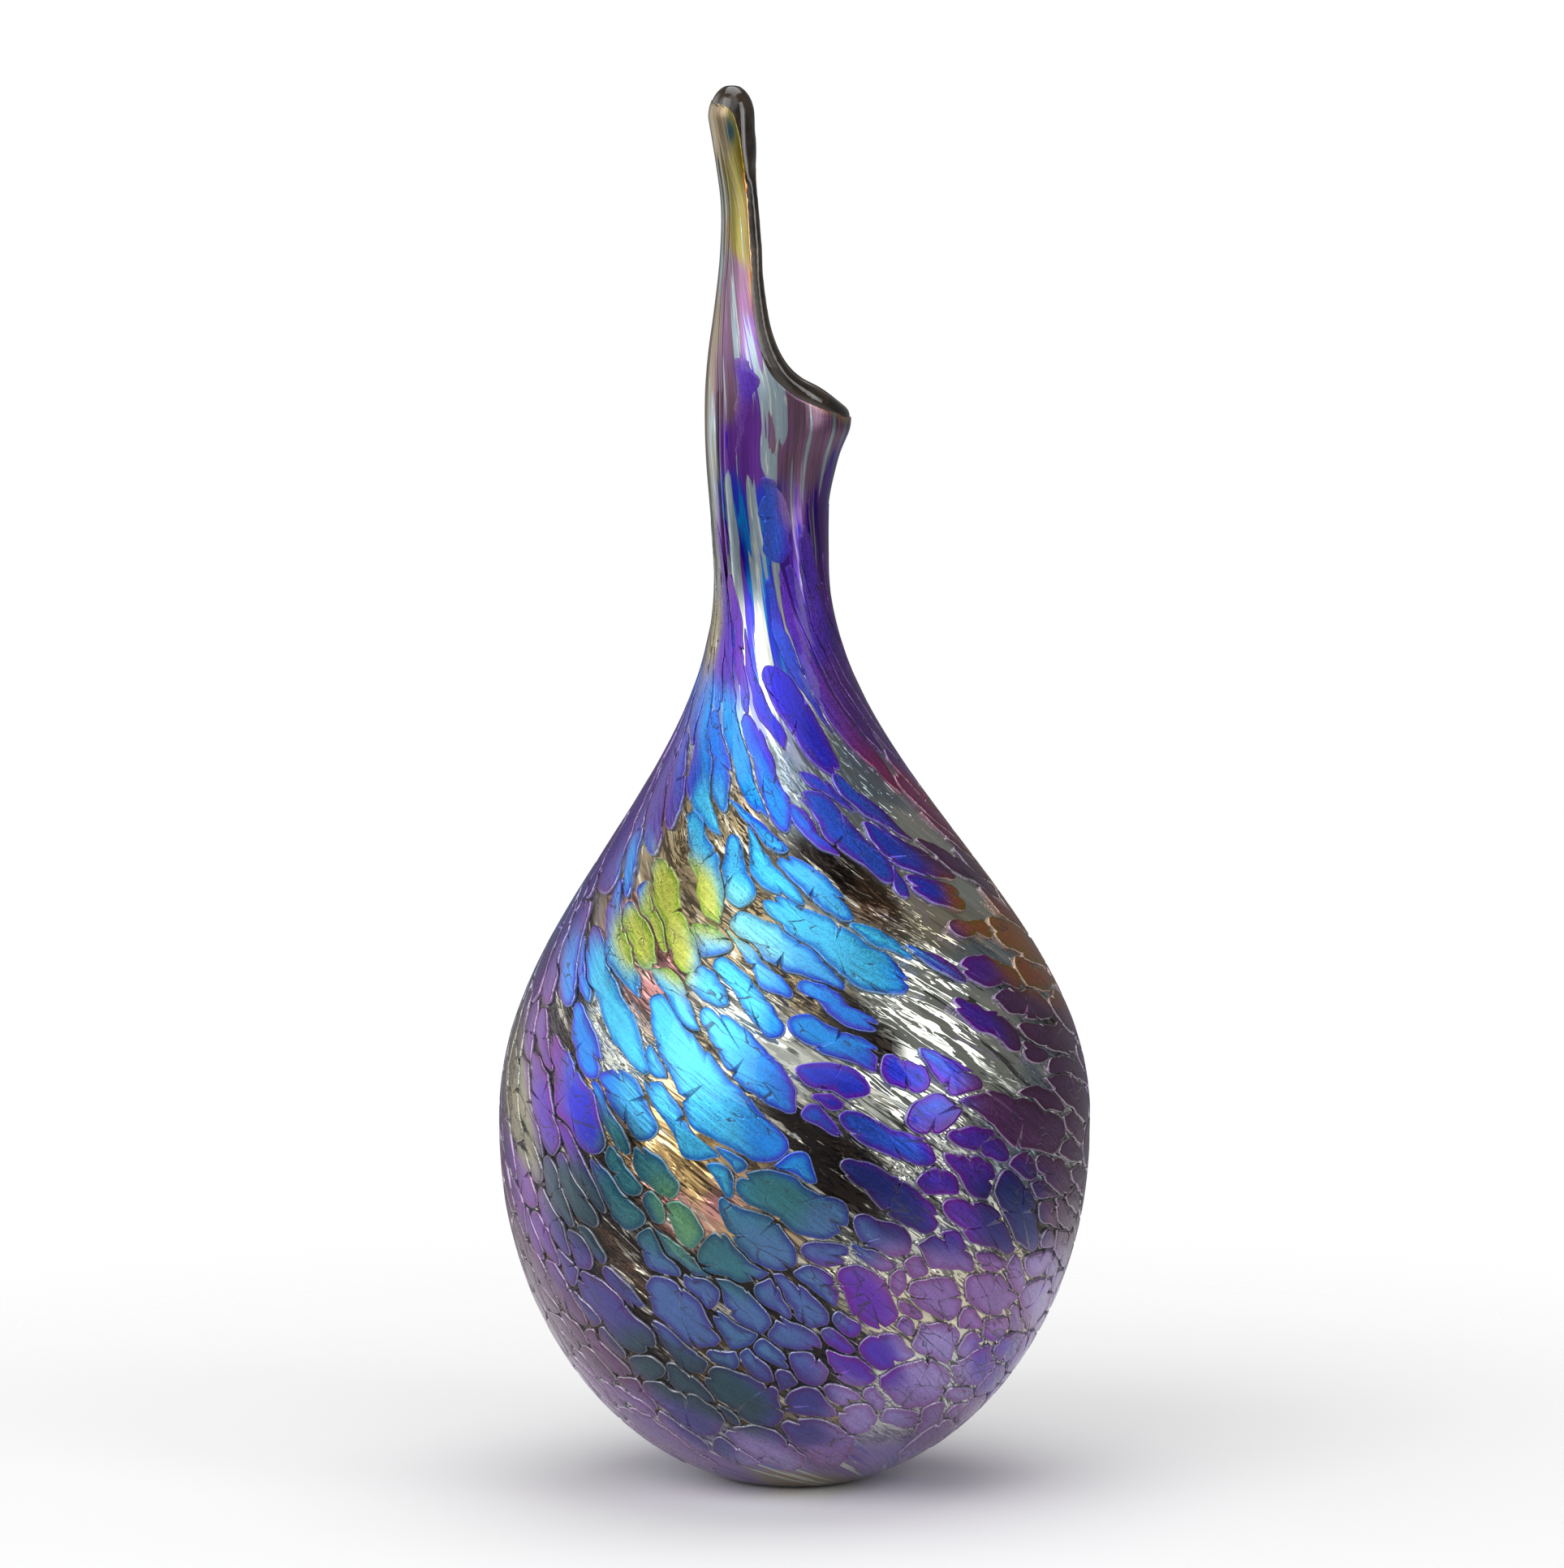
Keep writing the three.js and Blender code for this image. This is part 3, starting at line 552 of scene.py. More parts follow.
def grow_cells(rng, sites, keys):
    """Each seed's cell: an octagon cut back halfway to every neighbour, less half the gap between."""
    angles = np.array([site.angle for site in sites])
    walks = np.array([site.s for site in sites])
    radii = np.array([site.radius for site in sites])
    low, top = float(s_at(0)), float(s_at(CHIP_TOP_Z))
    hearts = np.array([(rng.uniform(-math.pi, math.pi), rng.uniform(low, top)) for _ in range(CLUSTERS)])
    for site in sites:
        away = (wrap(hearts[:, 0] - site.angle) * site.radius) ** 2 + (hearts[:, 1] - site.s) ** 2
        site.cluster = int(np.argmin(away))
        site.luck = rng.random()
    cells = []
    for site in sites:
        if site.pool:
            continue
        along, over = site.along * site.length * CELL_REACH, site.over * site.width * CELL_REACH
        polygon = [along * a + over * b for a, b in (
            (1, 0.5), (0.5, 1), (-0.5, 1), (-1, 0.5), (-1, -0.5), (-0.5, -1), (0.5, -1), (1, -0.5))]
        if polygon_area(polygon) < 0:
            polygon = polygon[::-1]
        reach = np.hypot(wrap(angles - site.angle) * (radii + site.radius) / 2, walks - site.s)
        for k in np.argsort(reach)[1:CELL_NEIGHBOURS]:
            other = sites[k]
            d, radius = offset_between(site, other)
            metric = (site.metric + other.metric) / 2
            size = d @ metric @ d
            share = 0.5 + ((site.size / 2) ** 2 - (other.size / 2) ** 2) / (2 * size)
            gap = GAP_FINE
            if site.cluster != other.cluster:
                gap = GAP_WIDE * (0.6 + 0.8 * (math.sin(site.cluster + other.cluster) ** 2))
            # The bisector's slope is set in mm at this site's radius, so that both sides agree.
            normal = metric @ d * np.array([radius / site.radius, 1])
            polygon = clip(polygon, normal, share * size - gap * np.linalg.norm(normal))
            if len(polygon) < 3:
                break
        for key in keys:
            d = np.array([wrap(site.angle - key["angle"]) * site.radius, site.s - key["s"]])
            if len(polygon) < 3 or np.abs(d).max() > key["reach"] + site.length:
                continue
            side = int(np.argmax(key["normals"] @ d - key["edges"]))
            normal = key["normals"][side]
            polygon = clip(polygon, -normal, normal @ d - key["edges"][side] - GAP_KEY)
        if len(polygon) >= 3 and abs(polygon_area(polygon)) > CELL_LEAST_AREA:
            cells.append({"angle": site.angle, "s": site.s, "radius": site.radius,
                          "corners": np.array(polygon), "luck": site.luck})
    return cells


def polygon_area(points):
    p = np.array(points)
    q = np.roll(p, -1, 0)
    return float((p[:, 0] * q[:, 1] - p[:, 1] * q[:, 0]).sum() / 2)


def round_off(corners, passes):
    """Corner cutting: turns a polygon into a pebble."""
    p = np.array(corners)
    for _ in range(passes):
        q = np.roll(p, -1, 0)
        p = np.stack([0.75 * p + 0.25 * q, 0.25 * p + 0.75 * q], 1).reshape(-1, 2)
    return p


def resample(points, spacing):
    """Evenly spaced points round a closed line."""
    closed = np.vstack([points, points[:1]])
    steps = np.linalg.norm(np.diff(closed, axis=0), axis=1)
    walk = np.concatenate([[0], np.cumsum(steps)])
    count = int(np.clip(walk[-1] / spacing, 12, 140))
    at = np.linspace(0, walk[-1], count, endpoint=False)
    return np.stack([np.interp(at, walk, closed[:, k]) for k in (0, 1)], -1)


WOBBLE = {150: 1, 220: 0.5, 260: 2.0}   # how strongly outlines bend
WOBBLE_WAVES = ((11, 2.6), (4, 0.7))   # size of each noise, and how far it bends an outline


def wobble(points, cell):
    """Bends an outline by slow noise, as hot glass flows; neighbours bend together."""
    out = []
    strength = float(np.interp(cell["s"], s_at(list(WOBBLE)), list(WOBBLE.values())))
    (slow, far), (quick, little) = WOBBLE_WAVES
    for x, y in points:
        angle, walk = cell["angle"] + x / cell["radius"], cell["s"] + y
        radius = float(radius_at(walk))
        place = Vector((radius * math.cos(angle), radius * math.sin(angle), walk))
        v = (noise.noise_vector(place / slow) * far + noise.noise_vector(place / quick) * little) * strength
        out.append((x + v.x, y + v.y))
    return np.array(out)


NOTCH_AREA = 55           # one notch for this much of a chip, and at most so many
NOTCH_MOST = 4
NOTCH_DEPTH = (1.2, 4.0)


def notch(outline, rng, cell):
    """A few cracks run in from the edge of a large chip along the flow, which gives it lobes."""
    along, _ = flow_axes(cell["angle"], cell["s"])
    count = len(outline)
    cuts = min(int(abs(polygon_area(outline)) / NOTCH_AREA), NOTCH_MOST)
    start = rng.randrange(count)
    for cut in range(cuts):
        k = (start + int((cut + rng.uniform(-0.3, 0.3)) * count / cuts)) % count
        spoke = outline.mean(0) - outline[k]
        spoke /= np.linalg.norm(spoke)
        inward = along if along @ spoke > 0 else -along
        outline[k] += (inward + spoke) / 2 * rng.uniform(*NOTCH_DEPTH)
    return outline


# Rings round a chip: first by depth inside the outline with lift, from the foot up over the rounded
# edge, then by share of the way out from the middle, where the chip is slightly domed.
EDGE_RINGS = ((0.0, -0.5), (0.0, 0.25), (0.1, 0.62), (0.28, 0.88), (0.55, 1.0), (1.0, 0.98))
INNER_RINGS = (0.78, 0.56, 0.34, 0.14)
DOME = 0.1
CHIP_CROWN = 1.1      # lift of a chip's middle point
NARROW_CHIP = 1.5     # a chip with less than this from middle to edge has its edge squeezed
DEEPEST_SHARE = 0.9   # an edge ring goes at most this share of the way in
OUTLINE_SPACING = 0.9


def chip_mesh(cell, rng):
    """Rings of points from a chip's foot to its middle: angle, walk, lift and distance to the edge."""
    outline = resample(round_off(cell["corners"], 3), OUTLINE_SPACING)
    if polygon_area(outline) < 0:
        outline = outline[::-1]
    outline = notch(wobble(outline, cell), rng, cell)
    middle = outline.mean(0)
    spokes = outline - middle
    tangent = np.roll(outline, -1, 0) - np.roll(outline, 1, 0)
    normal = np.stack([tangent[:, 1], -tangent[:, 0]], -1)
    normal /= np.linalg.norm(normal, axis=1, keepdims=True) + 1e-9
    support = np.maximum((spokes * normal).sum(1), 0.45 * np.linalg.norm(spokes, axis=1) + 0.2)
    inradius = float(support.min())
    squeeze = min(1.0, inradius / NARROW_CHIP)
    n = len(outline)
    rings = []
    for depth, lift in EDGE_RINGS:
        depth *= squeeze
        share = 1 - np.minimum(depth / support, DEEPEST_SHARE)
        rings.append((middle + spokes * share[:, None], np.full(n, lift), np.full(n, depth)))
    last_share = share
    for inner in INNER_RINGS:
        share = last_share * inner
        lift = EDGE_RINGS[-1][1] + DOME * (1 - inner)
        rings.append((middle + spokes * share[:, None], np.full(n, lift), support * (1 - share)))
    rings.append((middle[None, :], np.array([CHIP_CROWN]), np.array([inradius])))
    points, lift, edge = (np.concatenate(parts) for parts in zip(*rings))
    faces = grid_faces(len(rings) - 1, n)
    top, centre = (len(rings) - 2) * n, (len(rings) - 1) * n
    faces += [(top + k, top + (k + 1) % n, centre) for k in range(n)]
    return cell["angle"] + points[:, 0] / cell["radius"], cell["s"] + points[:, 1], lift, edge, faces


def grid_faces(rings, columns, closed=True):
    """Quads between rings of points; closed joins each ring's last point to its first."""
    faces = []
    for i in range(0, (rings - 1) * columns, columns):
        for j in range(columns if closed else columns - 1):
            k = (j + 1) % columns
            faces.append((i + j, i + k, i + columns + k, i + columns + j))
    return faces


def add_object(name, data):
    obj = bpy.data.objects.new(name, data)
    bpy.context.scene.collection.objects.link(obj)
    return obj


def discard(obj):
    mesh = obj.data
    bpy.data.objects.remove(obj)
    bpy.data.meshes.remove(mesh)


def make_mesh(name, points, faces, smooth=True):
    mesh = bpy.data.meshes.new(name)
    mesh.from_pydata((np.asarray(points) * MM).tolist(), [], faces)
    mesh.validate()
    if smooth:
        mesh.shade_smooth()
    return add_object(name, mesh)


def add_attributes(obj, **layers):
    """Stores a number or a colour for each point of a mesh, under each layer's name."""
    for name, values in layers.items():
        values = np.asarray(values, np.float32)
        if values.ndim == 1:
            layer = obj.data.attributes.new(name, "FLOAT", "POINT")
            layer.data.foreach_set("value", values)
        else:
            layer = obj.data.attributes.new(name, "FLOAT_COLOR", "POINT")
            rgba = np.ones((len(values), 4), np.float32)
            rgba[:, :3] = values
            layer.data.foreach_set("color", rgba.ravel())


FLOW_RADIUS = 60    # flow coordinates are mm at this radius, and start from this height
FLOW_START_Z = 100


def flow_turn_table():
    """How far round the vase a line of flow has turned, against walk."""
    walks = np.linspace(0, WALK_S[-1], 800)
    lean = flow_lean(np.full(800, -np.pi / 2), z_at(walks))
    turn = -np.cumsum(np.tan(lean) / radius_at(walks) * (walks[1] - walks[0]))
    return walks, turn - np.interp(s_at(FLOW_START_Z), walks, turn)


FLOW_TURN = flow_turn_table()


def flow_coordinates(angles, walks):
    """Place across and along the flow in mm, for streaks and grain."""
    return wrap(angles - np.interp(walks, *FLOW_TURN)) * FLOW_RADIUS, walks - s_at(FLOW_START_Z)


# Chips are one object for each of these families, by the film's nearest colour.
FAMILIES = {
    "cyan": ("cyan", "aqua"), "sky": ("sky",), "cobalt": ("cobalt",), "violet": ("violet", "purple"),
    "mauve": ("mauve", "rose", "beige", "milk"), "lilac": ("lilac",), "lime": ("lime", "olive"),
    "teal": ("teal", "deep", "green"), "slate": ("slate", "indigo"), "navy": ("navy",),
    "amber": ("amber", "plum"),
}
MOUTH_MARGIN = 0.12          # chips stay this many radians clear of the mouth's opening
LEAST_WALK = 0.5
OUTLINE = {190: 1, 240: 0}   # strength of the dark band and of the pale line round chips, the pale line being a painted highlight


def family_of(colour):
    best, name = 9, "cobalt"
    for family, members in FAMILIES.items():
        for member in members:
            gap = float(np.abs(np.sqrt(to_linear(FILM[member])) - np.sqrt(colour)).sum())
            if gap < best:
                best, name = gap, family
    return name


def clear_of_mouth(angle, z):
    """Moves points that lie in the mouth's opening out to just beyond its edge."""
    least = cut_angle(z) + MOUTH_MARGIN
    clear = np.sign(wrap(angle)) * np.maximum(np.abs(wrap(angle)), least)
    return np.where(z > MOUTH_Z - 2, clear, angle)


def build_chips():
    """One object for each family of chips: its name, the object and the CAD nodes that it draws."""
    rng = random.Random(RANDOM_SEED)
    alone = [n for n in sorted(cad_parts) if "_chip_" in n and n not in MELTED]
    keys = [key_outline([n] + [m for m, host in MELTED.items() if host == n]) for n in alone]
    sites = scatter(rng, keys, pool_places())
    cells = grow_cells(rng, sites, keys)
    for key in keys:
        cells.append({**key, "family": key["names"][0].split("_")[0], "luck": rng.random()})
    groups = {family: [] for family in FAMILIES}
    for cell in cells:
        family = cell.get("family") or family_of(blend_spots(cell["angle"], cell["s"], FILM_AND_LIGHT_SPOTS))
        groups[family].append(cell)
    pieces = []
    for family, members in groups.items():
        rows, faces, count = [], [], 0
        for cell in members:
            angle, walk, lift, edge, cell_faces = chip_mesh(cell, rng)
            angle = clear_of_mouth(angle, z_at(walk))
            luck = np.full(len(angle), cell["luck"])
            rows.append((angle, np.clip(walk, LEAST_WALK, None), lift, edge, luck))
            faces += [tuple(i + count for i in f) for f in cell_faces]
            count += len(angle)
        angles, walks, lifts, edges, luck = (np.concatenate(column) for column in zip(*rows))
        z = z_at(walks)
        points = skin_point(angles, z, pool_level(z) * (1 - lifts))
        obj = make_mesh(f"{family}_chips", points, faces)
        across, along = flow_coordinates(angles, walks)
        # The film colour carries the spots' painted light and shade as well as the film's own colours.
        add_attributes(obj, film=blend_spots(angles, walks, FILM_AND_LIGHT_SPOTS), edge=edges, luck=luck,
                       outline=by_height(z, OUTLINE), across=across, along=along)
        pieces.append((family, obj, [n for cell in members for n in cell.get("names", ())]))
    return pieces


def pool_level(z):
    """How far the casing lies from the outside: lower where chips stand on it."""
    return -CHIP_HEIGHT * by_height(z, RELIEF)


# ---------------------------------------------------------------- casing, core and rim
BRIM_LOW_Z, FAR = 290, 50.0   # distances to the brim are measured above this, and are this below it
BRIM_ROUNDING = 2.4   # the casing rolls inward towards its edge
BRIM_SHARE = {303: 0.25, 309: 0.8, 318: 1, 345: 0.35}
LIP_FLARE = 0.7       # the lowest part of the mouth turns slightly outward
LIP_FLARE_Z = 302.5
CREASES = ((0.0, 0.55), (0.13, 0.35))   # place beside the crease angle, in radians, and depth
CREASE_ANGLE = {236: -2.45, 262: -2.5, 312: -2.53, 340: -2.68, 380: -2.62}
CREASE_RADIUS = 17    # where the creases' places are true
CREASE_WIDTH = 0.45
CREASE_FADE_Z = ((236, 275), (372, 384))


def brim_line():
    """The casing's edge on the skin, round both sides of the mouth."""
    x, z = CASING_CUT[::3].T
    centre, half, depth = section(z)
    keep = (x < centre + half) & (x > centre - half)
    x, z, centre, half, depth = (v[keep] for v in (x, z, centre, half, depth))
    y = depth * np.sqrt(1 - ((x - centre) / half) ** 2)
    return np.vstack([np.stack([x, y, z], -1), np.stack([x, -y, z], -1)])


def between(z, rise, fall):
    """A level that goes from 0 to 1 over one range of heights, and back to 0 over another."""
    return smooth_step(z, *rise) * (1 - smooth_step(z, *fall))


def brim_distance(points):
    """Distance from each point to the casing's edge; far away below the mouth."""
    line = brim_line()
    away = np.full(len(points), FAR)
    near = np.where(points[:, 2] > BRIM_LOW_Z)[0]
    for part in np.array_split(near, 40):
        gaps = np.linalg.norm(points[part][:, None] - line[None], axis=2)
        away[part] = gaps.min(1)
    return away


def crease_depth(angle, z):
    """Fine folds down the left of the spire and neck, where the glass was drawn out."""
    depth = np.zeros(len(z))
    centre = by_height(z, CREASE_ANGLE)
    fade = between(z, *CREASE_FADE_Z)
    radius = np.maximum(section(z)[1], 5)
    for offset, amount in CREASES:
        arc = wrap(angle - centre - offset * CREASE_RADIUS / radius) * radius
        depth += amount * np.exp(-(arc / CREASE_WIDTH) ** 2) * fade
    return depth


def bare_level(angle, z):
    """How bare of film the front is: 1 on a streak's centre line, 0 well away from it."""
    centre, half, _ = section(z)
    x = centre + half * np.cos(angle)
    level = np.zeros(len(z))
    for streak in BARE_STREAKS:
        line_x, line_z, width = np.array(streak)[::-1].T
        low, high = line_z[0], line_z[-1]
        ends = between(z, (low - 4, low + 4), (high - 4, high + 4))
        away = np.abs(x - np.interp(z, line_z, line_x)) / (2 * np.interp(z, line_z, width))
        level = np.maximum(level, np.clip(1 - away, 0, 1) * ends)
    return np.where(np.sin(angle) < 0, level, 0)


SKIN_COLUMNS = 360
SKIN_STRETCHES = ((BELLY_Z, 298, 150), (298, 306, 24), (306, 330, 30), (330, 393.9, 60))
CALM = {0: 0.1, 30: 0.4, 60: 1, 150: 1, 172: 0.3, 250: 0.05}   # how strongly the casing ripples
LIVE = {100: 1, 150: 1, 172: 0.25, 200: 0.2}   # how strongly its ripples and stains show in the material
# Waves in the casing: size across and along the flow, seed and height.
WAVES = ((5.0, 16.0, 3, 0.2), (2.2, 6.0, 7, 0.04))
# Bands of colour along the brim: colour, heights where it starts and ends, and its width. The gold bands
# are painted highlights where the casing rolls over at its edge.
BRIM_BANDS_AND_HIGHLIGHTS = ((LUSTRE["gold"], 336, 372, 1.3), (FILM["rose"], 326, 338, 1.2),
              (LUSTRE["gold"], 296, 307, 1.5))
# Film lies flush in the lustre above the first pair of heights, and below the second.
COVER_Z = ((195, 240), (12, 26))


def waves(across, along):
    total = np.zeros(len(across))
    for wide, long, seed, height in WAVES:
        total += height * np.array([noise.noise(Vector((a / wide, b / long, seed)))
                                    for a, b in zip(across, along)])
    return total


def build_casing():
    """The lustre casing: a fine skin from the base to its crisp edge short of the rim."""
    bowl = BELLY_Z * (1 - np.cos(np.linspace(0, 1, 90) * np.pi / 2))
    rows = np.unique(np.concatenate([bowl] + [np.linspace(*stretch) for stretch in SKIN_STRETCHES]))
    share = np.tile(np.linspace(0, 1, SKIN_COLUMNS + 1), len(rows))
    z = np.repeat(rows, SKIN_COLUMNS + 1)
    start = np.repeat(cut_angle(rows), SKIN_COLUMNS + 1)
    # Columns make room for the mouth near its edges, and stay put round the rest of the neck.
    half_turn = np.pi * (1 - np.abs(1 - 2 * share))
    away = np.sqrt(start ** 2 + (1 - (start / np.pi) ** 2) * half_turn ** 2)
    angle = np.where(share < 0.5, away, 2 * np.pi - away)
    walks = s_at(z)
    across, along = flow_coordinates(angle, walks)
    edge = brim_distance(skin_point(angle, z))
    rounding = BRIM_ROUNDING * by_height(z, BRIM_SHARE)
    brim = rounding * (1 - np.sqrt(1 - np.clip(1 - edge / rounding, 0, 1) ** 2))
    crease = crease_depth(angle, z)
    flare = LIP_FLARE * np.exp(-((z - LIP_FLARE_Z) / 5) ** 2) * np.clip(np.cos(angle), 0, 1) ** 2
    ripple = by_height(z, CALM) * waves(across, along)
    points = skin_point(angle, z, pool_level(z) + ripple - brim - crease + flare)
    obj = make_mesh("lustre_skin", points, grid_faces(len(rows), SKIN_COLUMNS + 1, closed=False))
    # The film colour carries the spots' painted light and shade as well as the film's own colours.
    film = blend_spots(angle, walks, FILM_AND_LIGHT_SPOTS)
    # The gold bands paint highlights along the casing's rolled edge.
    for colour, low, high, reach in BRIM_BANDS_AND_HIGHLIGHTS:
        level = between(z, (low - 3, low + 3), (high - 3, high + 3))
        weight = (np.exp(-(edge / reach) ** 2) * level)[:, None]
        film = film * (1 - weight) + to_linear(colour) * weight
    add_attributes(obj, lustre=blend_spots(angle, walks, LUSTRE_SPOTS), film=film,
                   cover=smooth_step(z, *COVER_Z[0]) + 1 - smooth_step(z, *COVER_Z[1]),
                   crease=np.clip(crease * 2, 0, 1), bare=bare_level(angle, z),
                   live=by_height(z, LIVE), across=across, along=along)
    close_seam(obj)
    return obj


SEAM_TOP_Z = 305.0   # the casing is a closed ring below this, and opens at the mouth above it


def close_seam(obj):
    bm = bmesh.new()
    bm.from_mesh(obj.data)
    below = [v for v in bm.verts if v.co.z < SEAM_TOP_Z * MM]
    bmesh.ops.remove_doubles(bm, verts=below, dist=0.00001)
    bm.to_mesh(obj.data)
    bm.free()


def loft(name, rows, oval_at, columns=96):
    """A closed solid through an oval at each height."""
    angle = np.tile(np.linspace(0, 2 * np.pi, columns, endpoint=False), len(rows))
    z = np.repeat(rows, columns)
    last = (len(rows) - 1) * columns
    caps = [tuple(range(columns - 1, -1, -1)), tuple(range(last, last + columns))]
    return make_mesh(name, on_oval(angle, z, oval_at(z)), grid_faces(len(rows), columns) + caps)


RIM_RADIUS = {304: 3.8, 318: 3.6, 330: 3.0, 345: 2.5}
RIM_LOWERED = 1.1     # the roll sags at the mouth's low lip
RIM_SHIFT = {330: 0, 345: 0.3, 352: 0.6, 362: 0.5, 369: -0.2, 376: -1.2}   # the roll's shift along X
RIM_SPAN_Z = (299, 386)
RIM_STEPS = 260
RIM_SMOOTHINGS = 6
RIM_SIDES = 20
MOUTH_MIDDLE = (-12.0, 0, 322)
BEAD_RADII = (3.3, 4.8, 11.5)
BEAD_PLACE = (-14.1, 0, 379.5)


def rim_tube():
    """The fire-polished roll, swept round the mouth where the wall's middle meets the cut."""
    line = CORE_CUT[(CORE_CUT[:, 1] > RIM_SPAN_Z[0]) & (CORE_CUT[:, 1] < RIM_SPAN_Z[1])]
    x, z = line[:, 0], line[:, 1]
    cx, half, depth = section(z, 0.6)
    _, hollow_half, hollow_depth = hollow_section(z)
    half = (half + hollow_half) / 2
    depth = (depth + hollow_depth) / 2
    share = 1 - ((x - cx) / half) ** 2
    keep = (share > 0.0) & (z < HOLLOW_TOP_Z - 1)
    shifted = x + by_height(z, RIM_SHIFT)
    sagging = z - RIM_LOWERED * smooth_step(x, 3, 12)
    near = np.stack([shifted, -depth * np.sqrt(np.clip(share, 0, 1)), sagging], -1)[keep]
    loop = np.vstack([near, (near * [1, -1, 1])[::-1]])
    closed = np.vstack([loop, loop[:1]])
    walk = np.concatenate([[0], np.cumsum(np.linalg.norm(np.diff(closed, axis=0), axis=1))])
    at = np.linspace(0, walk[-1], RIM_STEPS, endpoint=False)
    path = np.stack([np.interp(at, walk, closed[:, k]) for k in range(3)], -1)
    for _ in range(RIM_SMOOTHINGS):
        path = (np.roll(path, 1, 0) + 2 * path + np.roll(path, -1, 0)) / 4
    tangent = np.roll(path, -1, 0) - np.roll(path, 1, 0)
    tangent /= np.linalg.norm(tangent, axis=1, keepdims=True)
    side = np.cross(tangent, np.array(MOUTH_MIDDLE) - path)
    side /= np.linalg.norm(side, axis=1, keepdims=True)
    other = np.cross(side, tangent)
    turn = np.linspace(0, 2 * np.pi, RIM_SIDES, endpoint=False)[None, :, None]
    radius = by_height(path[:, 2], RIM_RADIUS)[:, None, None]
    points = path[:, None] + radius * (np.cos(turn) * side[:, None] + np.sin(turn) * other[:, None])
    points = points.reshape(-1, 3)
    faces = [tuple(i % len(points) for i in face) for face in grid_faces(len(path) + 1, RIM_SIDES)]
    return make_mesh("rim_roll", points, faces)


def tip_bead():
    """The gather of glass above the mouth's upper end, where both rims meet."""
    bpy.ops.mesh.primitive_uv_sphere_add(segments=32, ring_count=20, radius=MM)
    bead = bpy.context.object
    bead.name = "tip_bead"
    bead.data.transform(Matrix.Diagonal((*BEAD_RADII, 1)))
    bead.data.transform(Matrix.Translation(Vector(BEAD_PLACE) * MM))
    return bead


def mouth_block():
    """What the shears took away from the core, as a solid to cut with."""
    right, top, half_depth = 90, 460, 60
    outline = [tuple(p) for p in CORE_CUT[::8]] + [(40, top), (right, top), (right, 297)]
    points = [(x, y, z) for y in (-half_depth, half_depth) for x, z in outline]
    n = len(outline)
    faces = [tuple(range(n)), tuple(range(2 * n - 1, n - 1, -1))]
    faces += [(k, n + k, n + (k + 1) % n, (k + 1) % n) for k in range(n)]
    block = make_mesh("mouth_block", points, faces, smooth=False)
    bm = bmesh.new()
    bm.from_mesh(block.data)
    bmesh.ops.recalc_face_normals(bm, faces=bm.faces)
    bm.to_mesh(block.data)
    bm.free()
    return block


def apply_modifiers(obj):
    bpy.context.view_layer.update()
    graph = bpy.context.evaluated_depsgraph_get()
    mesh = bpy.data.meshes.new_from_object(obj.evaluated_get(graph))
    obj.modifiers.clear()
    old = obj.data
    obj.data = mesh
    bpy.data.meshes.remove(old)


def cut_away(obj, cutter):
    cut = obj.modifiers.new("cut", "BOOLEAN")
    cut.operation = "DIFFERENCE"
    cut.solver = "EXACT"
    cut.object = cutter
    apply_modifiers(obj)
    discard(cutter)


def join(objects, name):
    bm = bmesh.new()
    for obj in objects:
        bm.from_mesh(obj.data)
        discard(obj)
    mesh = bpy.data.meshes.new(name)
    bm.to_mesh(mesh)
    bm.free()
    return add_object(name, mesh)


NECK_JOIN_Z = 252.0
# How far the core's outside lies under the vase's: on the neck and spire, against z, and in the bowl.
NECK_INSET = {NECK_JOIN_Z: 1.6, 290: 1.0, 330: 0.7, 380: 0.55, HEIGHT: 0.3}
BOWL_INSET, BASE_INSET = 2.0, 1.2
BOWL_COLUMNS = 128
MELT_VOXEL = 0.55


def build_core():
    """The dark core: the neck, mouth and spire melted into one form, and the bowl below."""
    tip = TIP_Z + (HEIGHT - TIP_Z) * np.sin(np.linspace(0.05, np.pi / 2, 14))
    rows = np.concatenate([np.linspace(NECK_JOIN_Z, TIP_Z, 90), tip])
    neck = loft("neck_core", rows, lambda z: section(z, by_height(z, NECK_INSET)))
    top = HOLLOW_CLOSING_Z + (HOLLOW_TOP_Z - HOLLOW_CLOSING_Z) * np.sin(np.linspace(0.1, 1.5, 10))
    hollow = loft("hollow", np.concatenate([np.linspace(NECK_JOIN_Z - 4, HOLLOW_CLOSING_Z, 80), top]),
                  hollow_section)
    cut_away(neck, hollow)
    cut_away(neck, mouth_block())
    neck = join([neck, rim_tube(), tip_bead()], "neck_core")
    remesh = neck.modifiers.new("melt", "REMESH")
    remesh.mode = "VOXEL"
    remesh.voxel_size = MELT_VOXEL * MM
    soft = neck.modifiers.new("soft", "SMOOTH")
    soft.factor = 0.5
    soft.iterations = 10
    apply_modifiers(neck)
    core = join([neck, build_bowl()], "dark_glass")
    core.data.shade_smooth()
    return core


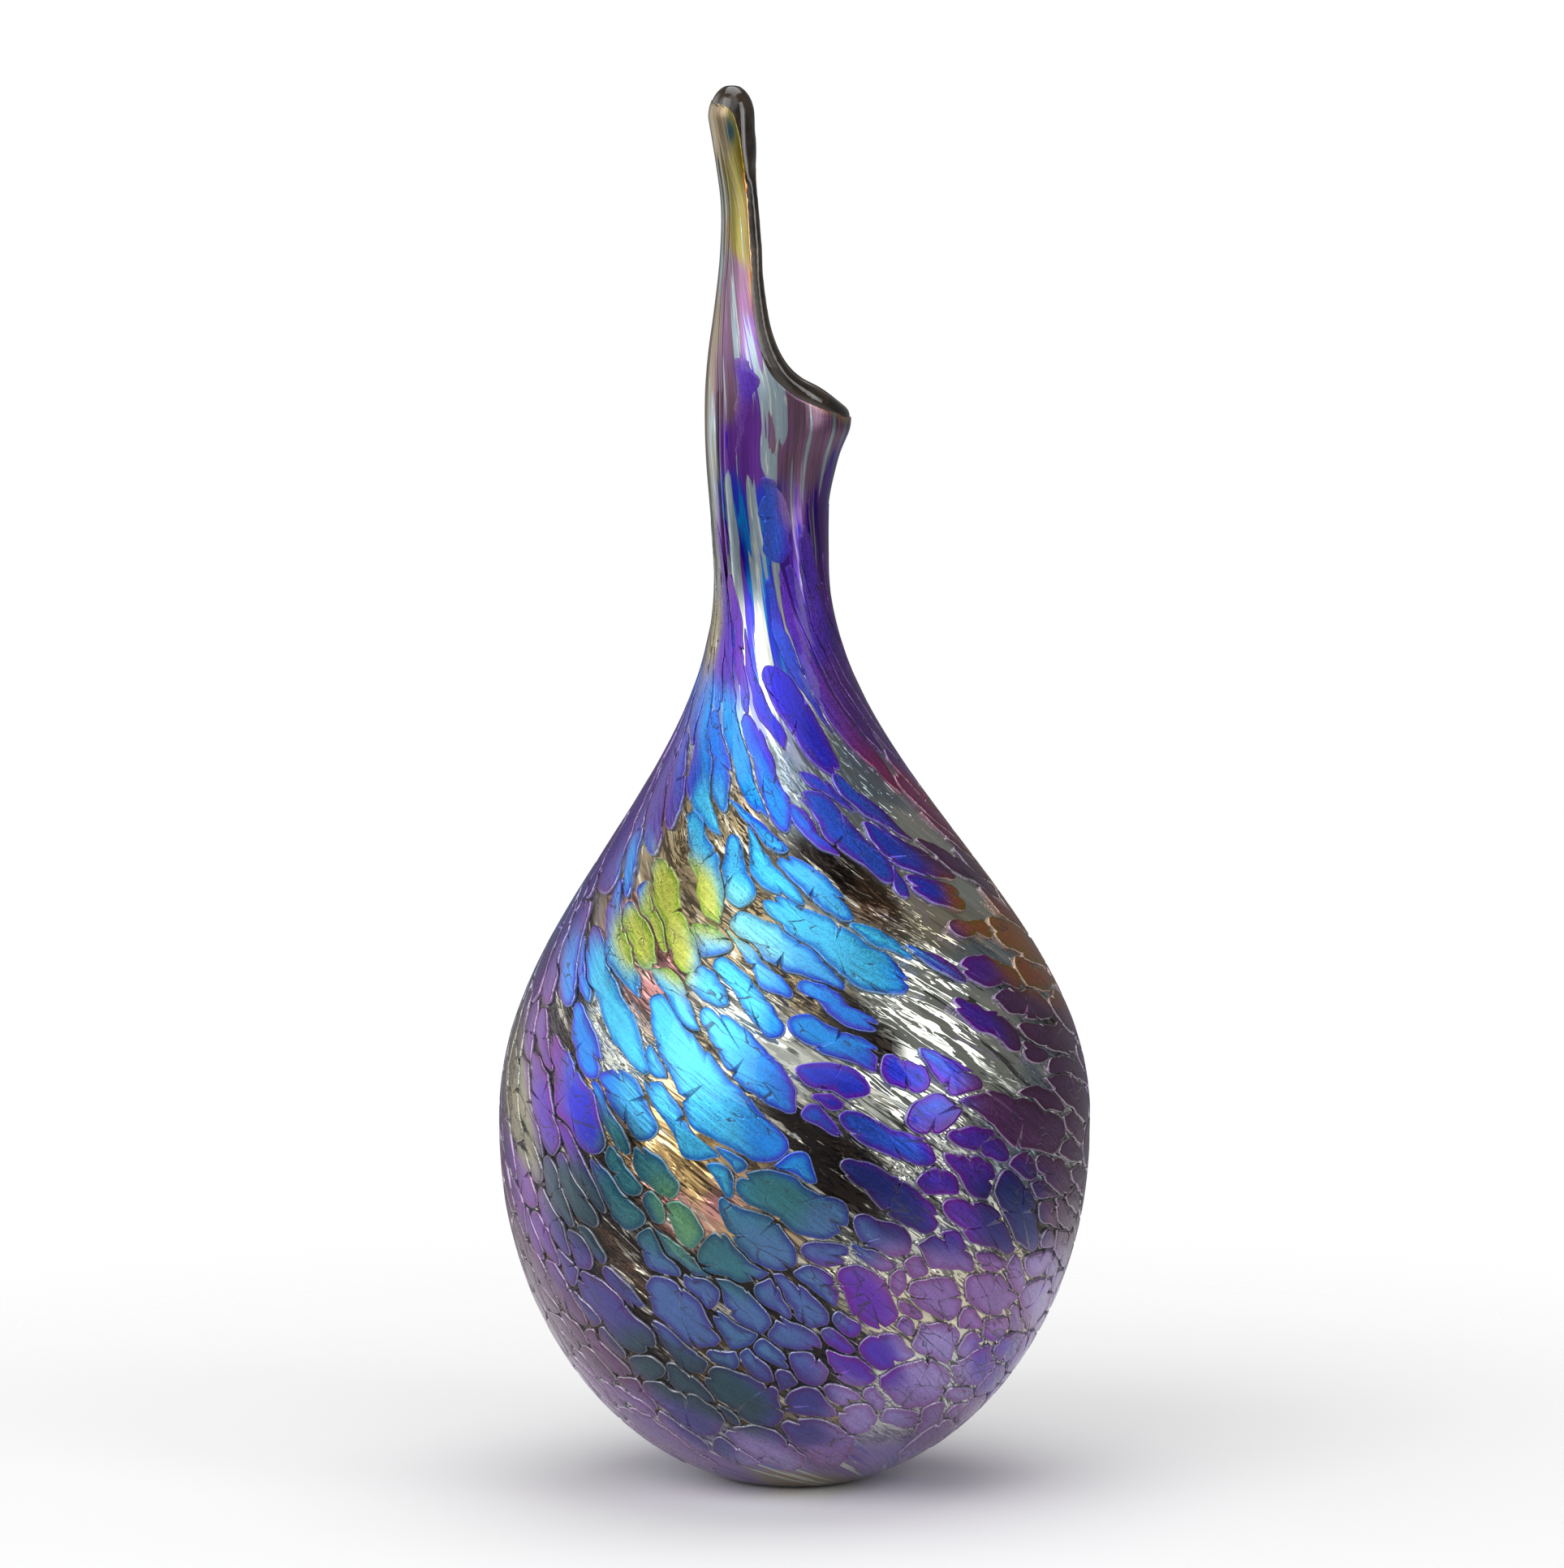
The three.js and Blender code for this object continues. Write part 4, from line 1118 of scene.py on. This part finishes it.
def build_bowl():
    """The bowl of the core: its outside just under the casing, the hollow, and the ground base."""
    upper = np.linspace(104, NECK_JOIN_Z, 70)
    outer_rows = np.append(BELLY_Z * (1 - np.cos(np.linspace(0, 1, 40) * np.pi / 2)), upper)
    drop = BELLY_DROP - HOLLOW_FLOOR
    inner_rows = np.append(BELLY_Z - drop * np.cos(np.linspace(0.02, np.pi / 2, 40)), upper)
    angle = np.linspace(0, 2 * np.pi, BOWL_COLUMNS, endpoint=False)
    rings = [on_oval(angle, z, section(z, BOWL_INSET, BASE_INSET)) for z in outer_rows]
    rings += [on_oval(angle, z, hollow_section(z)) for z in inner_rows[::-1]]
    points = np.vstack(rings)
    faces = [tuple(range(BOWL_COLUMNS - 1, -1, -1))] + grid_faces(len(rings), BOWL_COLUMNS)
    faces.append(tuple(range(len(points) - BOWL_COLUMNS, len(points))))
    return make_mesh("bowl_core", points, faces)


# ---------------------------------------------------------------- materials
class Nodes:
    """Adds nodes to one tree. A value is a number, an RGB colour, or another node's output."""

    def __init__(self, tree):
        self.tree = tree

    def feed(self, node, inputs):
        for name, value in inputs.items():
            socket = node.inputs[name]
            if isinstance(value, bpy.types.NodeSocket):
                self.tree.links.new(value, socket)
            else:
                socket.default_value = (*value, 1) if isinstance(value, tuple) else value

    def add(self, kind, inputs, output=0, **settings):
        node = self.tree.nodes.new(kind)
        for name, setting in settings.items():
            setattr(node, name, setting)
        self.feed(node, inputs)
        return node.outputs[output]

    def attribute(self, name, output="Fac"):
        return self.add("ShaderNodeAttribute", {}, output, attribute_name=name)

    def maths(self, operation, a, b, clamp=False):
        return self.add("ShaderNodeMath", {0: a, 1: b}, operation=operation, use_clamp=clamp)

    def times(self, a, b, clamp=False):
        return self.maths("MULTIPLY", a, b, clamp)

    def plus(self, a, b):
        return self.maths("ADD", a, b)

    def minus(self, a, b):
        return self.maths("SUBTRACT", a, b)

    def ramp(self, value, low, high, to_low=0.0, to_high=1.0):
        return self.add("ShaderNodeMapRange", {0: value, 1: low, 2: high, 3: to_low, 4: to_high},
                        interpolation_type="SMOOTHSTEP")

    def mix(self, factor, a, b, mode="MIX"):
        return self.add("ShaderNodeMix", {0: factor, 6: a, 7: b}, 2, data_type="RGBA", blend_type=mode)

    def shade(self, colour, value):
        """A colour made lighter or darker by a factor."""
        grey = self.add("ShaderNodeCombineColor", {0: value, 1: value, 2: value})
        return self.mix(1.0, colour, grey, "MULTIPLY")

    def turn(self, colour, hue, saturation, value):
        return self.add("ShaderNodeHueSaturation",
                        {"Color": colour, "Hue": hue, "Saturation": saturation, "Value": value})

    def flow(self, across, along, seed):
        """Coordinates across and along the flow, scaled per mm."""
        return self.add("ShaderNodeCombineXYZ", {
            0: self.times(self.attribute("across"), across),
            1: self.times(self.attribute("along"), along), 2: float(seed)})

    def space(self, scale):
        """Coordinates in the object's own space, scaled per metre."""
        place = self.add("ShaderNodeTexCoord", {}, "Object")
        return self.add("ShaderNodeVectorMath", {0: place, "Scale": scale}, operation="SCALE")

    def noise(self, vector, detail, roughness=0.5, distortion=0.0):
        return self.add("ShaderNodeTexNoise", {
            "Scale": 1.0, "Detail": detail, "Roughness": roughness, "Distortion": distortion,
            "Vector": vector}, "Fac")

    def bump(self, height, strength, distance, normal=None):
        inputs = {"Strength": strength, "Distance": distance, "Height": height}
        if normal is not None:
            inputs["Normal"] = normal
        return self.add("ShaderNodeBump", inputs)

    def cracks(self):
        """Hairlines where drawn-out cells meet, in patches: 1 on a line."""
        bend = self.times(self.noise(self.flow(0.12, 0.1, 9), 2), 1.6)
        bends = self.add("ShaderNodeCombineXYZ", {0: bend, 1: bend, 2: bend})
        bent = self.add("ShaderNodeVectorMath", {0: self.flow(0.17, 0.06, 5), 1: bends}, operation="ADD")
        away = self.add("ShaderNodeTexVoronoi", {"Scale": 1.0, "Vector": bent}, "Distance",
                        feature="DISTANCE_TO_EDGE")
        patches = self.ramp(self.noise(self.space(60), 2), 0.44, 0.54)
        return self.times(self.ramp(away, 0.0, 0.028, 1.0, 0.0), patches)

    def seeds(self):
        """Small scattered dots, where seeds in the glass have opened: 1 on a dot."""
        away = self.add("ShaderNodeTexVoronoi", {"Scale": 1.0, "Vector": self.space(170)}, "Distance")
        luck = self.add("ShaderNodeSeparateColor", {0: away.node.outputs["Color"]})
        return self.times(self.ramp(away, 0.04, 0.08, 1.0, 0.0), self.ramp(luck, 0.6, 0.62))


def new_material(name):
    material = bpy.data.materials.new(name)
    material.use_nodes = True
    tree = material.node_tree
    tree.nodes.clear()
    shader = tree.nodes.new("ShaderNodeBsdfPrincipled")
    out = tree.nodes.new("ShaderNodeOutputMaterial")
    tree.links.new(shader.outputs[0], out.inputs[0])
    return material, Nodes(tree), shader


def chip_material(family):
    """Satin metallic film: a pale rim line painted as a highlight, a deeper band inside it, grain, streaks
    and fine cracks.
    """
    material, n, shader = new_material(f"{family}_film")
    film, edge, outline = n.attribute("film", "Color"), n.attribute("edge"), n.attribute("outline")
    grain = n.noise(n.space(1600), 2)
    streak = n.noise(n.flow(0.55, 0.09, 2), 4, 0.6)
    cloud = n.noise(n.space(75), 3)
    tone = n.plus(n.times(streak, 0.7), n.times(cloud, 0.5))
    hue = n.plus(0.487, n.times(n.attribute("luck"), 0.026))
    body = n.turn(film, hue, 1.0, n.plus(0.45, n.times(tone, 0.85)))
    deeper = n.turn(body, 0.56, 1.15, 0.62)
    band = n.times(n.times(n.ramp(edge, 0.5, 3.0, 1.0, 0.0), 0.8), outline)
    crack, seed = n.cracks(), n.seeds()
    colour = n.mix(band, body, deeper)
    colour = n.mix(n.times(crack, 0.8), colour, (0.03, 0.025, 0.05))
    colour = n.mix(n.times(seed, 0.7), colour, (0.02, 0.02, 0.04))
    # Painted highlight: a pale line along each chip's rim, where the raised edge catches the light.
    line = n.times(n.ramp(edge, 0.2, 0.46, 0.78, 0.0), outline)
    colour = n.mix(line, colour, n.mix(0.45, (0.5, 0.5, 0.52), film))
    normal = n.bump(grain, 0.08, 0.0002)
    normal = n.bump(n.minus(1.0, crack), 0.5, 0.0004, normal)
    normal = n.bump(n.minus(1.0, seed), 0.6, 0.0004, normal)
    normal = n.bump(streak, 0.35, 0.0012, normal)
    n.feed(shader, {
        "Base Color": n.shade(colour, n.ramp(grain, 0.3, 0.7, 0.88, 1.12)), "Metallic": 0.82,
        "Roughness": n.ramp(grain, 0.3, 0.75, 0.24, 0.4),
        "Coat Weight": 0.5, "Coat Roughness": 0.05, "Normal": normal})
    return material


STREAK_LEVEL = 0.43   # film covers the lustre where the streaks' noise is above this


def lustre_material():
    """Mirror-like silver and gold lustre, rippled like a liquid; film streaks lie flush up the neck."""
    material, n, shader = new_material("lustre_film")
    cover, live = n.attribute("cover"), n.attribute("live")
    stain = n.noise(n.flow(0.3, 0.06, 12), 3, 0.6, 0.8)
    colour = n.mix(n.ramp(stain, 0.58, 0.62, 0.0, 0.45), n.attribute("lustre", "Color"), (0.8, 0.76, 0.64))
    colour = n.mix(n.times(n.ramp(stain, 0.4, 0.43, 0.8, 0.0), live), colour, (0.016, 0.01, 0.007))

    streak = n.noise(n.flow(0.16, 0.02, 8), 3, 0.5, 0.5)
    broad = n.noise(n.flow(0.05, 0.012, 11), 1, 0.5, 0.5)
    streak = n.plus(n.times(streak, 0.6), n.times(broad, 0.4))
    streak = n.minus(streak, n.times(n.attribute("bare"), 0.3))
    hem_start = STREAK_LEVEL + 0.006
    covered = n.times(n.ramp(streak, STREAK_LEVEL, hem_start), cover, clamp=True)
    hem = n.times(n.ramp(streak, hem_start, hem_start + 0.02, 1.0, 0.0), covered)
    film = n.attribute("film", "Color")
    patch = n.noise(n.flow(0.12, 0.03, 15), 3, 0.6, 0.2)
    film = n.mix(n.ramp(patch, 0.55, 0.56), film, n.turn(film, 0.455, 1.25, 1.1))
    film = n.shade(film, n.ramp(n.noise(n.flow(0.8, 0.04, 4), 3), 0.3, 0.7, 0.7, 1.15))
    film = n.mix(n.times(hem, 0.5), film, (0.3, 0.3, 0.32))
    colour = n.mix(covered, colour, film)
    # Painted shade: the fine folds are darkened to near black by their depth.
    colour = n.mix(n.attribute("crease"), colour, (0.02, 0.018, 0.02))

    swell = n.noise(n.flow(0.15, 0.07, 1), 1, 0.4, 0.8)
    ripple = n.noise(n.flow(0.42, 0.22, 3), 1, 0.4, 1.2)
    rough_water = n.ramp(n.noise(n.space(28), 1), 0.42, 0.6, 0.12, 1.0)
    calm = n.times(n.ramp(cover, 0.0, 1.0, 1.0, 0.08), live)
    normal = n.bump(n.times(swell, calm), 1.0, 0.0035)
    normal = n.bump(n.times(n.times(ripple, calm), rough_water), 0.8, 0.0022, normal)
    n.feed(shader, {
        "Base Color": colour, "Metallic": 0.92,
        "Roughness": n.plus(0.04, n.times(cover, 0.24, clamp=True)),
        "Coat Weight": 0.3, "Coat Roughness": 0.03, "Normal": normal})
    return material


def dark_material():
    """Near-black brown glass, fire-polished."""
    material, n, shader = new_material("dark_glass_film")
    cloud = n.noise(n.space(90), 3, 0.6, 0.5)
    n.feed(shader, {
        "Base Color": n.mix(n.ramp(cloud, 0.35, 0.7), (0.008, 0.006, 0.005), (0.05, 0.032, 0.02)),
        "IOR": 1.52, "Roughness": n.ramp(cloud, 0.3, 0.7, 0.03, 0.09),
        "Coat Weight": 0.5, "Coat Roughness": 0.03, "Normal": n.bump(cloud, 0.1, 0.001)})
    return material


# ---------------------------------------------------------------- stage, light and camera
FLOOR_RADIUS = 0.75
FLOOR_Z = -0.0006
FLOOR_FADE = (0.12, 0.5)   # distance from the vase where the floor starts to fade, and where it is gone


def build_stage():
    """A pale floor that fades into the pale backdrop."""
    bpy.ops.mesh.primitive_circle_add(vertices=96, radius=FLOOR_RADIUS, fill_type="NGON",
                                      location=(0, 0, FLOOR_Z))
    floor = bpy.context.object
    floor.name = "floor"
    material, n, shader = new_material("pale_floor")
    place = n.add("ShaderNodeTexCoord", {}, "Object")
    away = n.add("ShaderNodeVectorMath", {0: place}, "Value", operation="LENGTH")
    n.feed(shader, {"Base Color": (0.9, 0.9, 0.9), "Roughness": 0.7,
                    "Alpha": n.ramp(away, *FLOOR_FADE, 1.0, 0.0)})
    floor.data.materials.append(material)


# Soft panels that the glass mirrors: direction, inner and outer half angle in degrees, and brightness.
PANELS = [
    ((-0.75, -0.5, 0.45), 12, 34, 1.5), ((-0.9, 0.35, 0.1), 16, 40, 1.3), ((0.1, -0.8, 0.75), 14, 32, 0.9),
    ((0.9, -0.45, 0.2), 5, 14, 1.1), ((0.1, 0.25, 1.0), 14, 34, 0.9), ((-0.15, -1.0, 0.05), 10, 34, 0.5),
    ((0.0, 0.0, -1.0), 40, 86, 0.75),
]
ROOM_LEVEL = 0.16


def build_world():
    """The camera sees a plain white backdrop; the glass mirrors a dim room with soft bright panels."""
    world = bpy.data.worlds.new("studio")
    bpy.context.scene.world = world
    world.use_nodes = True
    tree = world.node_tree
    tree.nodes.clear()
    n = Nodes(tree)
    direction = n.add("ShaderNodeTexCoord", {}, "Generated")
    level = ROOM_LEVEL
    for aim, inner, outer, brightness in PANELS:
        facing = n.add("ShaderNodeVectorMath", {0: direction, 1: Vector(aim).normalized()}, "Value",
                       operation="DOT_PRODUCT")
        low, high = math.cos(math.radians(outer)), math.cos(math.radians(inner))
        level = n.plus(n.ramp(facing, low, high, 0.0, brightness), level)
    grey = n.add("ShaderNodeCombineColor", {0: level, 1: level, 2: level})
    mirrored = n.add("ShaderNodeBackground", {0: grey})
    seen = n.add("ShaderNodeBackground", {0: (1, 1, 1)})
    direct = n.add("ShaderNodeLightPath", {}, "Is Camera Ray")
    both = n.add("ShaderNodeMixShader", {0: direct, 1: mirrored, 2: seen})
    tree.links.new(both, tree.nodes.new("ShaderNodeOutputWorld").inputs[0])


def area_light(name, place, target, size, power):
    data = bpy.data.lights.new(name, "AREA")
    data.shape = "RECTANGLE"
    data.size, data.size_y = size
    data.energy = power
    lamp = add_object(name, data)
    lamp.location = place
    lamp.rotation_euler = (Vector(target) - Vector(place)).to_track_quat("-Z", "Y").to_euler()


def build_lights():
    area_light("key", (-0.9, -1.3, 1.2), (0, 0, 0.2), (1.3, 1.6), 12)
    area_light("fill", (1.3, -0.9, 0.7), (0, 0, 0.2), (0.6, 1.4), 7)
    area_light("top", (0.1, 0.2, 1.9), (0, 0, 0.1), (1.6, 1.6), 12)


CAMERA_DISTANCE = 2.0
CAMERA_ELEVATION = math.radians(5)
FRAME_WIDTH = 447.7     # width of the view at the vase
AIM = (-3.6, 0, 199.5)
SENSOR_WIDTH = 36


def build_camera():
    data = bpy.data.cameras.new("camera")
    camera = add_object("camera", data)
    away = Vector((0, -math.cos(CAMERA_ELEVATION), math.sin(CAMERA_ELEVATION)))
    camera.location = Vector(AIM) * MM + away * CAMERA_DISTANCE
    camera.rotation_euler = (-away).to_track_quat("-Z", "Y").to_euler()
    data.sensor_width = SENSOR_WIDTH
    data.lens = SENSOR_WIDTH * CAMERA_DISTANCE / (FRAME_WIDTH * MM)
    bpy.context.scene.camera = camera


# ---------------------------------------------------------------- the whole model
build_camera()
build_stage()
build_world()
build_lights()
bpy.context.scene.view_settings.view_transform = "Standard"

core = build_core()
core.data.materials.append(dark_material())
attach(core, "root")
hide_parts("dark_core", "rim_bead")

casing = build_casing()
casing.data.materials.append(lustre_material())
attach(casing, "root")
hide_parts("lustre_casing")

for family, chips, stood_for in build_chips():
    chips.data.materials.append(chip_material(family))
    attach(chips, "root")
    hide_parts(*stood_for)
